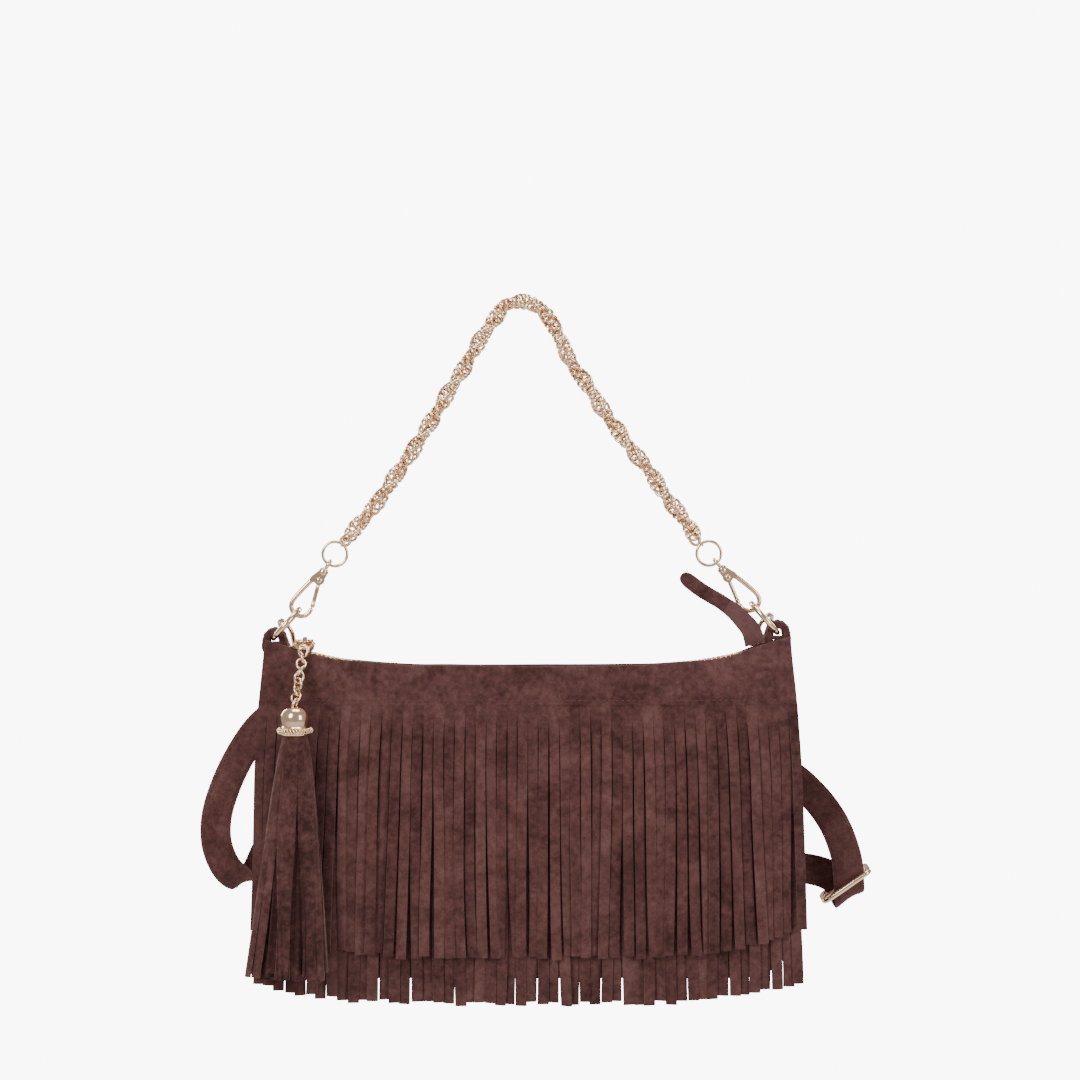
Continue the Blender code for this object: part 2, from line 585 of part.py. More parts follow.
def hook_meshes(gold):
    """One swivel hook about its own swivel point, hanging down -Z: body, gate, rivet and eye."""
    rx, rz = RIVET
    half = HOOK_PLATE_THICK / 2
    plate_outline = [(-1.9, -2.6), (1.9, -2.6)] + arc(RIVET, 2.3, 40, -120, 10) + [(-3.4, -8.6), (-3.6, -7.0)]
    body = extrude_outline("hook_body", plate_outline, -half, half, gold)
    collar = turned("hook_collar_tool", ((0.0, 0.3), (2.2, 0.3), (2.2, 3.2), (0.0, 3.2)), (0, 0, 0), gold, 12)
    limb_points = [(-2.6, -7.4), (-3.4, -11.0), (-4.4, -16.0), (-5.1, -20.6)]
    limb_points += arc((0.0, HOOK_BOW_Z), HOOK_BOW_R, 186, 372, 11)
    limb = tube("hook_limb_tool", [(x, 0, z) for x, z in limb_points], HOOK_WIRE_R, gold, 8)
    for tool in (collar, limb):
        combine(body, tool, "UNION")
    slot = tube("hook_slot_cutter", [(rx, -HOOK_SLOT / 2, rz), (rx, HOOK_SLOT / 2, rz)], 2.75, gold, 14)
    bore = tube("hook_bore_cutter", [(rx, -4, rz), (rx, 4, rz)], RIVET_R + 0.15, gold, 10)
    well = turned("hook_well_cutter", ((0.0, -1.0), (1.15, -1.0), (1.15, 2.6), (0.0, 2.6)),
                  (0, 0, 0), gold, 14)
    for tool in (slot, bore, well):
        combine(body, tool, "DIFFERENCE")

    tip = Vector((4.9, 0, HOOK_BOW_Z + 1.1 + GAP + 1.5))
    along = (tip - Vector((rx, 0, rz))).normalized()
    gate = tube("hook_gate", [Vector((rx, 0, rz)) + along * 2.9, tip], 0.95, gold, 8)
    neck = tube("hook_neck_tool", [Vector((rx, 0, rz)) + along * 1.2, Vector((rx, 0, rz)) + along * 3.6],
                0.5, gold, 8)
    tang = tube("hook_tang_tool", [(rx, -0.5, rz), (rx, 0.5, rz)], 1.9, gold, 12)
    for tool in (neck, tang):
        combine(gate, tool, "UNION")
    eyelet = tube("hook_gate_bore_cutter", [(rx, -4, rz), (rx, 4, rz)], RIVET_R + 0.15, gold, 10)
    combine(gate, eyelet, "DIFFERENCE")

    reach = half + GAP
    rivet = tube("hook_rivet", [(rx, -reach - 0.6, rz), (rx, reach + 0.6, rz)], RIVET_R, gold, 8)
    for k, side in enumerate((-1, 1)):
        head = tube(f"hook_rivet_head{k}_tool", [(rx, side * reach, rz), (rx, side * (reach + 0.7), rz)],
                    1.6, gold, 10)
        combine(rivet, head, "UNION")

    eye = torus("hook_eye", (0, 0, 2.9), Vector((0, 0, 1)), Vector((0, 1, 0)), 2.1, 0.7, gold, 14, 6)
    stem = turned("hook_stem_tool", ((0.0, -0.9), (0.85, -0.9), (0.85, 2.2), (0.0, 2.2)), (0, 0, 0), gold, 12)
    combine(eye, stem, "UNION")
    return {"body": body, "gate": gate, "rivet": rivet, "eye": eye}


def strap_loop_mesh(gold):
    """The swivel eye of a strap hook: a wide loop that the strap's end folds over."""
    half, low, high, r = STRAP_WIDTH / 2 + 1.6, 1.9, 8.6, 1.6
    outline = []
    for cx, cz, start in ((half - r, high - r, 0), (-half + r, high - r, 90),
                          (-half + r, low + r, 180), (half - r, low + r, 270)):
        outline += arc((cx, cz), r, start, start + 90, 3)
    loop = tube("strap_loop", [(x, 0, z) for x, z in outline], 1.0, gold, 8, closed=True)
    stem = turned("strap_stem_tool", ((0.0, -1.8), (0.85, -1.8), (0.85, 2.2), (0.0, 2.2)),
                  (0, 0, 0), gold, 12)
    combine(loop, stem, "UNION")
    return loop


def evaluated_copy(source, name):
    """A new object with the source's finished mesh."""
    bpy.context.view_layer.update()
    graph = bpy.context.evaluated_depsgraph_get()
    mesh = bpy.data.meshes.new_from_object(source.evaluated_get(graph))
    return add_object(name, mesh)


def facing(up, normal):
    """The turn that takes +Z to one direction and +Y as near as it can to another."""
    y = (normal - up * normal.dot(up)).normalized()
    x = y.cross(up)
    return Matrix((x, y, up)).transposed().to_4x4()


def place_hook(pattern, prefix, turn, swivel, skip=""):
    """Copies of the pattern's pieces, turned and hung on the hook's own pivots."""
    place = Matrix.Translation(Vector(swivel) * MM) @ turn
    for piece, source in pattern.items():
        if piece == skip:
            continue
        copy = evaluated_copy(source, f"{prefix}_{piece}")
        if piece == "gate":
            at = Vector((RIVET[0], 0, RIVET[1])) * MM
            copy.data.transform(Matrix.Translation(-at))
            copy.matrix_world = place @ Matrix.Translation(at)
        else:
            copy.matrix_world = place


def hooks(gold):
    pattern = hook_meshes(gold)
    strap_loop = strap_loop_mesh(gold)
    half_turn = Matrix.Rotation(math.pi, 4, "Z")
    for prefix, low, lean_ring, lean, flip in (
            ("hook_left", RING_LEFT_LOW, RING_LEFT_LEAN, HOOK_LEAN_LEFT, False),
            ("hook_right", RING_RIGHT_LOW, RING_RIGHT_LEAN, HOOK_LEAN_RIGHT, True)):
        turn = Matrix.Rotation(lean, 4, "Y")
        swivel = ring_top(low, lean_ring) - leaning(lean) * HOOK_REST_Z
        centre = swivel + leaning(lean) * O_RING_RISE
        side = "left" if not flip else "right"
        across = Vector((math.cos(lean), 0, -math.sin(lean)))
        torus(f"oring_{side}", centre, leaning(lean), across, O_RING_MEAN_R, O_RING_WIRE_R, gold, 20, 6)
        place_hook(pattern, prefix, turn @ half_turn if flip else turn, swivel)
    for prefix, low, lean_ring, sign in (("strap_hook_left", RING_LEFT_LOW, RING_LEFT_LEAN, 1),
                                         ("strap_hook_right", RING_RIGHT_LOW, RING_RIGHT_LEAN, -1)):
        up = leaning(lean_ring)
        sweep = math.radians(STRAP_HOOK_SWEEP)
        wire = low + (up * (1 - math.cos(sweep)) + Vector((0, math.sin(sweep), 0))) * RING_MEAN_R
        tangent = up * math.sin(sweep) + Vector((0, math.cos(sweep), 0))
        hang = Vector((sign * STRAP_HOOK_HANG[0], *STRAP_HOOK_HANG[1:])).normalized()
        swivel = wire - hang * HOOK_REST_Z
        place_hook(pattern, prefix, facing(hang, tangent), swivel, skip="eye")
        loop = evaluated_copy(strap_loop, f"{prefix}_eye")
        loop.matrix_world = Matrix.Translation(swivel * MM) @ facing(hang, Vector((0, 1, 0)))
    for source in (*pattern.values(), strap_loop):
        source.hide_render = True
        source.display_type = "WIRE"


def chain_handle(gold):
    points = [p * MM for p in smooth_route(CHAIN_ROUTE, 34)]
    curve = bpy.data.curves.new("rope_chain", "CURVE")
    curve.dimensions = "3D"
    curve.bevel_depth = CHAIN_R * MM
    curve.bevel_resolution = 2
    curve.use_fill_caps = True
    spline = curve.splines.new("POLY")
    spline.points.add(len(points) - 1)
    for slot, p in zip(spline.points, points):
        slot.co = (*p, 1.0)
    curve.materials.append(gold)
    return add_object("rope_chain", curve)


def strap(suede, gold):
    """The strap, with its slider: a frame round both strands and a bar in the fold."""
    ribbon("strap", STRAP_ROUTE, STRAP_WIDTH, STRAP_THICK, suede, 2)
    lie = math.radians(BUCKLE_LIE)
    along = Vector((math.cos(lie), 0, math.sin(lie)))
    across = Vector((0, 1, 0))
    corners = []
    half_l, half_w, r = BUCKLE_LENGTH / 2, BUCKLE_DEPTH / 2, 2.6
    for cx, cy, start in ((1, 1, 0), (-1, 1, 90), (-1, -1, 180), (1, -1, 270)):
        corners += arc((cx * (half_l - r), cy * (half_w - r)), r, start, start + 90, 4)
    tube("buckle_frame", [BUCKLE_CENTRE + along * u + across * v for u, v in corners],
         BUCKLE_WIRE_R, gold, 8, closed=True)
    reach = half_l - BUCKLE_WIRE_R - GAP
    tube("buckle_bar", [BUCKLE_CENTRE - along * reach, BUCKLE_CENTRE + along * reach], 1.1, gold, 8)


def main():
    clear_scene()
    suede = material("suede", SUEDE_BROWN, 0.95)
    cloth = material("lining_cloth", LINING_BROWN, 0.8)
    tape_mat = material("zip_tape", TAPE_BROWN, 0.9)
    gold = material("gold_metal", GOLD, 0.2, 1.0)
    panels_and_bands(suede)
    gusset(suede)
    lining(cloth)
    fringes(suede)
    side_tabs(suede)
    zip_parts(tape_mat, gold, suede)
    slider(gold)
    tassel(gold, suede)
    large_rings(gold)
    hooks(gold)
    chain_handle(gold)
    strap(suede, gold)


main()
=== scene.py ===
"""Fringed suede shoulder bag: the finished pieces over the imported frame.

Shapes are worked out in millimetres round the point that the handle hangs from, and written in metres.
+X is to the right of the fringed front, +Y to the back, +Z up.
"""

import math
import random

import bmesh
import bpy
from mathutils import Matrix, Vector, noise


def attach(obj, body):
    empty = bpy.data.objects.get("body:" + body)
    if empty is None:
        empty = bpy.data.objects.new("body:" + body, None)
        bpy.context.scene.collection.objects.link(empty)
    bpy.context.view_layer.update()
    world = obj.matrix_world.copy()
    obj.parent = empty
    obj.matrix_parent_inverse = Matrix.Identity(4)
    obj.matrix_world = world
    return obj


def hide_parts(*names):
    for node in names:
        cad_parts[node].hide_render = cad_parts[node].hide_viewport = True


bl_info = {
    "name": "Fringed Shoulder Bag",
    "version": (1, 0, 0),
    "blender": (4, 5, 0),
    "location": "View3D > Sidebar > Bag",
    "description": "Builds a fringed suede shoulder bag with a rope-chain handle, tassel and strap",
    "category": "Add Mesh",
}

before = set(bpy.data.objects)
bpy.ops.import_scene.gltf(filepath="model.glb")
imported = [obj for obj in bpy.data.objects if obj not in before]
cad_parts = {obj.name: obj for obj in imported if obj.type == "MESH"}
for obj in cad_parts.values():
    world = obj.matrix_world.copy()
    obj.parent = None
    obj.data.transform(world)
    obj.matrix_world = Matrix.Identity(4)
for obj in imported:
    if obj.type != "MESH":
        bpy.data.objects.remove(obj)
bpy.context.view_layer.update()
MM = 0.001

# Bag body
HALF_WIDTH_TOP = 134.7
SEAM_STITCH_RISE = 2.4
HALF_WIDTH_FULL = 140.0
EDGE_LOW_Z = -185.2
EDGE_RISE = 8.2
EDGE_RISE_X = 125.0
SEAM_Z = -205.0
WIDTH_FULL_Z = -250.0
BOTTOM_Z = -345.0
BOTTOM_CORNER_R = 26.0
MIDDLE_DEPTH = ((-170.0, 10.0), (-205.0, 15.0), (-240.0, 21.0), (-290.0, 26.0), (-345.0, 24.0))
EDGE_DEPTH = ((-170.0, 9.2), (-205.0, 12.5), (-290.0, 16.0), (-345.0, 24.0))
BAND_THICK = 2.2
PANEL_THICK = 1.6
PANEL_SINK = 6.0
PANEL_INSET = 3.0
GUSSET_TOP_Z = -189.0
UPPER_TIER = (-205.3, -332.8, 14.0)       # top, lowest end, rise towards the sides
LOWER_TIER = (-262.0, -357.5, 12.0)
LOWER_TIER_SINK = 3.1

# Metal parts
RING_MEAN_R = 9.9
RING_WIRE_R = 1.4
RINGS = {"left": (Vector((-130.9, 0.0, -172.1)), math.radians(41.7)),
         "right": (Vector((128.3, 0.0, -169.1)), math.radians(-41.7))}
TABS = {"left": (-130.2, -172.8), "right": (128.5, -169.0)}
TAB_PATH_R = 4.1
TAB_WIDTH = 7.0
TAB_FOOT_Z = -187.0
HOOK_LEAN = {"left": math.radians(32.9), "right": math.radians(-40.5)}
HOOK_REST_Z = -24.8
STRAP_HOOK_SWEEP = math.radians(75.0)
O_RING_RISE = 9.3
O_RING_MEAN_R = 6.25
O_RING_WIRE_R = 0.8
RIVET = Vector((0.6, 0.0, -6.4))
GATE_TIP = Vector((4.9, 0.0, -19.9))
CHAIN_ROUTE = ((-93.6, 0, -121.8), (-87.6, 0, -114.6), (-80.2, 0, -105.4), (-72.5, 0, -95.6),
               (-63.2, 0, -81.2), (-54.5, 0, -68.9), (-46.3, 0, -54.5), (-36.0, 0, -38.5),
               (-27.8, 0, -24.7), (-19.0, 0, -10.8), (-10.5, 0, -1.2), (0.0, 0, 0.0),
               (8.2, 0, -4.4), (14.0, 0, -13.9), (22.6, 0, -30.8), (32.4, 0, -45.2),
               (41.6, 0, -59.1), (51.9, 0, -73.0), (62.2, 0, -86.4), (72.0, 0, -100.2),
               (79.6, 0, -110.6), (86.9, 0, -120.5))
PULLER_PIVOT = Vector((-114.5, -3.6, -173.4))
TASSEL_PIVOT = Vector((-114.5, -13.4, -176.2))
TASSEL_CAP = Vector((-117.5, -27.0, -203.8))
CAP_PROFILE = ((0.0, 0.0), (2.4, 0.15), (4.4, 0.9), (5.9, 2.1), (6.8, 3.5), (7.3, 5.0), (7.4, 6.4),
               (7.2, 7.9), (6.9, 9.3), (6.8, 10.1), (7.2, 10.6), (7.8, 11.0), (7.8, 14.2), (7.4, 14.6),
               (6.6, 14.6), (6.4, 13.6), (0.0, 13.6))
SKIRT_TOP_Z = -218.4
SKIRT_LENGTH = 123.0
ZIP_Z = -177.6
ZIP_ENDS = (-121.0, 119.0)
ZIP_SAG = 10.8
TAIL_ROUTE = ((116.6, -4.2, -174.8, 12), (114.6, -4.8, -168.0, 26), (110.0, -5.2, -162.2, 46),
              (104.6, -5.4, -157.0, 54), (98.0, -5.4, -152.4, 60))
END_TAB_ROUTE = ((97.2, -5.4, -151.9, 60), (90.5, -5.4, -148.0, 60), (84.8, -5.6, -144.0, 56),
                 (78.6, -5.8, -139.0, 54))
STRAP_WIDTH = 16.0
STRAP_THICK = 2.2
STRAP_ROUTE = (
    (-120.4, 32.0, -196.4, 12), (-121.4, 34.8, -201.6, 0), (-125.5, 36.3, -207.5, -30),
    (-133.5, 35.5, -214.5, -46), (-144.0, 33.0, -224.5, -42), (-153.0, 30.0, -238.5, -33),
    (-160.0, 26.5, -254.0, -22), (-164.0, 23.5, -269.0, -8), (-163.5, 20.8, -283.0, 12),
    (-158.0, 20.0, -295.5, 28), (-150.0, 24.0, -302.0, 18), (-144.5, 31.5, -299.5, -6),
    (-139.0, 37.0, -288.0, -24), (-131.0, 40.0, -272.0, -36), (-116.0, 41.0, -256.5, -55),
    (-92.0, 41.0, -246.0, -74), (-55.0, 41.0, -239.5, -84), (0.0, 41.0, -236.0, -90),
    (60.0, 41.0, -235.0, -92), (105.0, 38.5, -237.5, -100), (134.0, 33.0, -245.5, -112),
    (149.5, 28.0, -257.0, -133), (160.5, 23.5, -271.5, -148), (166.5, 18.5, -287.5, -160),
    (168.0, 17.2, -299.5, -152), (168.4, 18.2, -308.0, -146), (167.4, 22.6, -311.0, -144),
    (165.0, 26.4, -305.5, -140), (158.0, 28.8, -300.0, -124), (145.0, 32.5, -297.3, -104),
    (122.0, 38.0, -297.0, -92), (85.0, 41.0, -300.0, -87), (35.0, 41.0, -304.5, -87),
    (-20.0, 41.0, -307.0, -89), (-75.0, 42.0, -306.0, -96), (-102.0, 45.0, -299.0, -126),
    (-111.0, 48.5, -287.0, -180), (-102.0, 51.5, -275.5, -232), (-75.0, 52.0, -269.5, -262),
    (-20.0, 51.5, -268.0, -269), (45.0, 50.0, -262.0, -276), (88.0, 48.0, -247.0, -294),
    (109.5, 44.0, -228.0, -318), (118.0, 39.0, -209.0, -352), (118.6, 35.2, -199.6, -370),
    (117.8, 32.0, -193.4, -372))
BUCKLE_CENTRE = Vector((166.8, 22.0, -303.6))
BUCKLE_LIE = math.radians(35.0)


# ---- settings ----------------------------------------------------------------------------------

class BagFabric(bpy.types.PropertyGroup):
    """Colours and sizes of the suede, fringe, stitching and zip."""

    suede_mid: bpy.props.FloatVectorProperty(
        name="Suede", description="Colour of the suede's even nap", size=3, subtype="COLOR",
        default=(0.062, 0.0230, 0.0208), min=0.0, max=1.0)
    suede_dark: bpy.props.FloatVectorProperty(
        name="Suede against the nap", description="Colour where the nap is brushed down", size=3,
        subtype="COLOR", default=(0.026, 0.0088, 0.0078), min=0.0, max=1.0)
    suede_light: bpy.props.FloatVectorProperty(
        name="Suede along the nap", description="Colour where the nap catches the light", size=3,
        subtype="COLOR", default=(0.096, 0.0410, 0.0375), min=0.0, max=1.0)
    tape_colour: bpy.props.FloatVectorProperty(
        name="Zip tape", description="Colour of the woven zip tape", size=3, subtype="COLOR",
        default=(0.085, 0.036, 0.034), min=0.0, max=1.0)
    lining_colour: bpy.props.FloatVectorProperty(
        name="Lining", description="Colour of the lining cloth", size=3, subtype="COLOR",
        default=(0.060, 0.035, 0.028), min=0.0, max=1.0)
    strips: bpy.props.IntProperty(
        name="Fringe strips", description="Strips across one tier of the fringe",
        default=52, min=12, max=90)
    strip_thick: bpy.props.FloatProperty(
        name="Strip thickness", description="Thickness of the suede of a fringe strip",
        default=0.0015, min=0.0005, max=0.003, unit="LENGTH")
    tassel_strips: bpy.props.IntProperty(
        name="Tassel strips", description="Strips round the outside of the tassel's skirt",
        default=16, min=8, max=40)
    stitch_pitch: bpy.props.FloatProperty(
        name="Stitch pitch", description="Distance from one stitch to the next",
        default=0.0031, min=0.001, max=0.01, unit="LENGTH")
    seed: bpy.props.IntProperty(
        name="Fall of the fringe", description="Seed for how each strip hangs", default=11, min=0)


class BagMetal(bpy.types.PropertyGroup):
    """Colours and sizes of the chain, hooks and rings."""

    gold_colour: bpy.props.FloatVectorProperty(
        name="Gold", description="Colour of the plating", size=3, subtype="COLOR",
        default=(0.83, 0.56, 0.345), min=0.0, max=1.0)
    link_radius: bpy.props.FloatProperty(
        name="Link radius", description="Mean radius of a rope-chain link",
        default=0.00240, min=0.001, max=0.004, unit="LENGTH")
    link_wire: bpy.props.FloatProperty(
        name="Link wire", description="Radius of the wire of a rope-chain link",
        default=0.00082, min=0.0002, max=0.001, unit="LENGTH")
    link_pitch: bpy.props.FloatProperty(
        name="Link pitch", description="Distance between neighbouring links on a strand",
        default=0.0029, min=0.001, max=0.005, unit="LENGTH")
    tooth_pitch: bpy.props.FloatProperty(
        name="Tooth pitch", description="Distance between zip teeth on one side",
        default=0.0024, min=0.001, max=0.005, unit="LENGTH")


class BagStudio(bpy.types.PropertyGroup):
    """Floor, light and camera."""

    floor_colour: bpy.props.FloatVectorProperty(
        name="Floor", description="Colour of the floor", size=3, subtype="COLOR",
        default=(0.93, 0.93, 0.93), min=0.0, max=1.0)
    light_scale: bpy.props.FloatProperty(
        name="Light", description="Strength of all the lights together", default=1.0, min=0.0)
    focal_length: bpy.props.FloatProperty(
        name="Focal length", description="Camera lens in millimetres", default=85.0, min=20.0)


# ---- shape of the bag --------------------------------------------------------------------------

def interpolate(profile, z):
    """Smooth value of a (z, value) profile that runs from high z to low z."""
    if z >= profile[0][0]:
        return profile[0][1]
    for (z1, v1), (z2, v2) in zip(profile, profile[1:]):
        if z >= z2:
            t = (z1 - z) / (z1 - z2)
            return v1 + (v2 - v1) * (0.35 * (3 * t * t - 2 * t ** 3) + 0.65 * t)
    return profile[-1][1]


def edge_z(x):
    """Height of the bag's top edge."""
    return EDGE_LOW_Z + EDGE_RISE * abs(x / EDGE_RISE_X) ** 3.5


def band_top_z(x, side):
    """Height of a band's rolled edge: it sweeps up towards the tabs at both ends."""
    t = min(max((abs(x) - 96.0) / 30.0, 0.0), 1.0)
    return edge_z(x) + (4.2 if x > 0 else 2.2) * t * t * (3 - 2 * t) - (1.6 if side > 0 else 0.0)


def half_width(z):
    top = edge_z(EDGE_RISE_X)
    t = min(max((top - z) / (top - WIDTH_FULL_Z), 0.0), 1.0)
    return HALF_WIDTH_TOP + (HALF_WIDTH_FULL - HALF_WIDTH_TOP) * math.sin(t * math.pi / 2)


def front_depth(u, z):
    """How far the fringe's outer face stands from the middle plane; u is -1 to 1 across."""
    edge = interpolate(EDGE_DEPTH, z)
    return edge + (interpolate(MIDDLE_DEPTH, z) - edge) * (1 - abs(u) ** 4)


def face_point(u, z, sink, side=-1, inset=0.0):
    """A point on the front (side -1) or back (side 1), sunk below the outer face."""
    return Vector((u * (half_width(z) - inset), side * (front_depth(u, z) - sink), z))


def face_outward(u, z, side=-1):
    """Unit vector that points away from the bag, level, at a point of its front or back."""
    step = 0.01
    a = face_point(max(u - step, -1), z, 0.0, side)
    b = face_point(min(u + step, 1), z, 0.0, side)
    across = (b - a).normalized()
    out = Vector((across.y, -across.x, 0.0))
    return out if out.y * side > 0 else -out


def zip_z(x):
    """Height of the zip's teeth: it sags with the bag's top edge between its two ends."""
    fullness = 3.5 if x < 0 else 3.0
    return ZIP_Z - ZIP_SAG * (1 - min(abs(x) / ZIP_ENDS[1], 1.0) ** fullness)


def ripple(p, size, depth):
    """Soft unevenness of leather at a point."""
    return depth * noise.noise(Vector(p) / size)


# ---- mesh helpers --------------------------------------------------------------------------------

def add_object(name, mesh):
    made = bpy.data.objects.new(name, mesh)
    bpy.context.scene.collection.objects.link(made)
    return made


def finish_piece(name, bm, mats, body, replaces=(), sharp=45.0):
    """Makes a piece from a bmesh in millimetres and lets it ride on a body of the frame."""
    bmesh.ops.remove_doubles(bm, verts=bm.verts, dist=1e-4)
    bmesh.ops.recalc_face_normals(bm, faces=bm.faces)
    bmesh.ops.scale(bm, vec=(MM, MM, MM), verts=bm.verts)
    mesh = bpy.data.meshes.new(name)
    bm.to_mesh(mesh)
    bm.free()
    for mat in mats if isinstance(mats, (list, tuple)) else [mats]:
        mesh.materials.append(mat)
    mesh.shade_smooth()
    mesh.set_sharp_from_angle(angle=math.radians(sharp))
    made = add_object(name, mesh)
    return settle(made, body, replaces)


def settle(piece, body, replaces=()):
    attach(piece, body)
    if replaces:
        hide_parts(*replaces)
    return piece


def catmull(route, k, t):
    last = len(route) - 1
    p0, p1, p2, p3 = (Vector(route[min(max(i, 0), last)][:3]) for i in range(k - 1, k + 3))
    return 0.5 * (2 * p1 + (p2 - p0) * t + (2 * p0 - 5 * p1 + 4 * p2 - p3) * t * t
                  + (3 * p1 - p0 - 3 * p2 + p3) * t ** 3)


def smooth_route(route, spacing):
    """Evenly spread points on the smooth curve through a route."""
    dense = [catmull(route, k, step / 16) for k in range(len(route) - 1) for step in range(16)]
    dense.append(Vector(route[-1][:3]))
    run = [0.0]
    for a, b in zip(dense, dense[1:]):
        run.append(run[-1] + (b - a).length)
    count = max(int(run[-1] / spacing), 2)
    even, k = [], 0
    for i in range(count + 1):
        target = run[-1] * i / count
        while k < len(run) - 2 and run[k + 1] < target:
            k += 1
        even.append(dense[k].lerp(dense[k + 1], (target - run[k]) / (run[k + 1] - run[k])))
    return even


def skin(bm, rings, caps=True, closed=False, index=0):
    """Joins rings of points into one surface; returns the rows of vertices."""
    rows = [[bm.verts.new(p) for p in ring] for ring in rings]
    pairs = list(zip(rows, rows[1:])) + ([(rows[-1], rows[0])] if closed else [])
    for a, b in pairs:
        for i in range(len(a)):
            j = (i + 1) % len(a)
            face = bm.faces.new((a[i], a[j], b[j], b[i]))
            face.material_index = index
    if caps and not closed:
        bm.faces.new(rows[0])
        bm.faces.new(rows[-1])
    return rows


def tube(bm, points, radius, sides=16, closed=False, flat=1.0, round_ends=False):
    """A tube along points; radius is a number or one for each point, flat squeezes it along Y."""
    pts = [Vector(p) for p in points]
    radii = list(radius) if hasattr(radius, "__len__") else [radius] * len(pts)
    if round_ends and not closed:
        steps = (0.38, 0.71, 0.92)
        first, last = (pts[0] - pts[1]).normalized(), (pts[-1] - pts[-2]).normalized()
        lead = [(pts[0] + first * radii[0] * math.sqrt(1 - s * s), radii[0] * s) for s in steps]
        tail = [(pts[-1] + last * radii[-1] * math.sqrt(1 - s * s), radii[-1] * s)
                for s in reversed(steps)]
        pts = [p for p, _ in lead] + pts + [p for p, _ in tail]
        radii = [r for _, r in lead] + radii + [r for _, r in tail]
    count = len(pts)
    side, rings = None, []
    for i, p in enumerate(pts):
        after = pts[(i + 1) % count] if closed or i < count - 1 else p
        before = pts[i - 1] if closed or i > 0 else p
        along = (after - before).normalized()
        if side is None:
            start = Vector((0, 1, 0)) if abs(along.y) < 0.9 else Vector((1, 0, 0))
            side = start
        side = (side - along * side.dot(along)).normalized()
        up = along.cross(side)
        rings.append([p + side * math.cos(a) * radii[i] * flat + up * math.sin(a) * radii[i]
                      for a in (2 * math.pi * s / sides for s in range(sides))])
    skin(bm, rings, closed=closed)


def torus(bm, centre, axis_u, axis_v, mean_r, wire_r, steps=64, sides=16):
    u, v = Vector(axis_u).normalized(), Vector(axis_v).normalized()
    normal = u.cross(v)
    rings = []
    for k in range(steps):
        turn = 2 * math.pi * k / steps
        out = u * math.cos(turn) + v * math.sin(turn)
        rings.append([Vector(centre) + out * (mean_r + wire_r * math.cos(a)) + normal * wire_r * math.sin(a)
                      for a in (2 * math.pi * s / sides for s in range(sides))])
    skin(bm, rings, closed=True)


def turned(bm, profile, centre, steps=48, axis=None):
    """A turned solid: (radius, depth) points spun about an axis that runs from the centre."""
    down = Vector(axis or (0, 0, -1)).normalized()
    u = down.orthogonal().normalized()
    v = down.cross(u)
    rings = []
    for r, depth in profile:
        base = Vector(centre) + down * depth
        radius = max(r, 1e-5)
        rings.append([base + (u * math.cos(a) + v * math.sin(a)) * radius
                      for a in (2 * math.pi * s / steps for s in range(steps))])
    skin(bm, rings)


def arc(cx, cz, radius, start, end, steps):
    """Points on an arc in the XZ plane, angles in degrees from +X towards +Z."""
    turns = [math.radians(start + (end - start) * k / steps) for k in range(steps + 1)]
    return [Vector((cx + radius * math.cos(a), 0.0, cz + radius * math.sin(a))) for a in turns]


def plate(bm, outline, low_y, high_y, bevel):
    """An outline in the XZ plane made solid along Y, with its edges taken off."""
    centre = sum(outline, Vector()) / len(outline)
    rings = []
    for y, inset in ((low_y, bevel), (low_y + bevel, 0.0), (high_y - bevel, 0.0), (high_y, bevel)):
        rings.append([Vector((p.x, y, p.z)) + (centre - p).normalized() * inset for p in outline])
    skin(bm, rings)


def strip_section(width, thick, curl, points=4):
    """Closed cross-section of a strip as (across, outward) pairs; curl bends it, in radians."""
    bend = curl if abs(curl) > 1e-3 else 1e-3
    radius = width / bend
    outer, inner = [], []
    for k in range(points + 1):
        share = k / points - 0.5
        angle = share * bend
        edge = 0.68 if k in (0, points) else 1.0
        base = (radius * math.sin(angle), radius * (1 - math.cos(angle)))
        normal = (-math.sin(angle), math.cos(angle))
        half = thick / 2 * edge
        outer.append((base[0] - normal[0] * half, base[1] - normal[1] * half))
        inner.append((base[0] + normal[0] * half, base[1] + normal[1] * half))
    return outer + list(reversed(inner))


def hang_strip(bm, shades, spine, widths, thick, curls, shade):
    """A suede strip along a spine of (point, across, outward); shades is the vertex layer."""
    rings = []
    for (p, across, outward), width, curl in zip(spine, widths, curls):
        rings.append([p + across * a - outward * o for a, o in strip_section(width, thick, curl)])
    for row in skin(bm, rings):
        for vert in row:
            vert[shades] = shade


def facing(up, normal):
    """The turn that takes +Z to one direction and +Y as near as it can to another."""
    y = (normal - up * normal.dot(up)).normalized()
    x = y.cross(up)
    return Matrix((x, y, up)).transposed().to_4x4()


def leaning(angle):
    """Unit vector that leans from +Z towards +X."""
    return Vector((math.sin(angle), 0, math.cos(angle)))


# ---- node helpers --------------------------------------------------------------------------------

def add_node(tree, kind, links=None, **settings):
    """A node with its settings made, and its inputs joined or given values by position or name."""
    node = tree.nodes.new(kind)
    for key, value in settings.items():
        setattr(node, key, value)
    for key, value in (links or {}).items():
        if isinstance(value, bpy.types.NodeSocket):
            tree.links.new(value, node.inputs[key])
        else:
            node.inputs[key].default_value = value
    return node


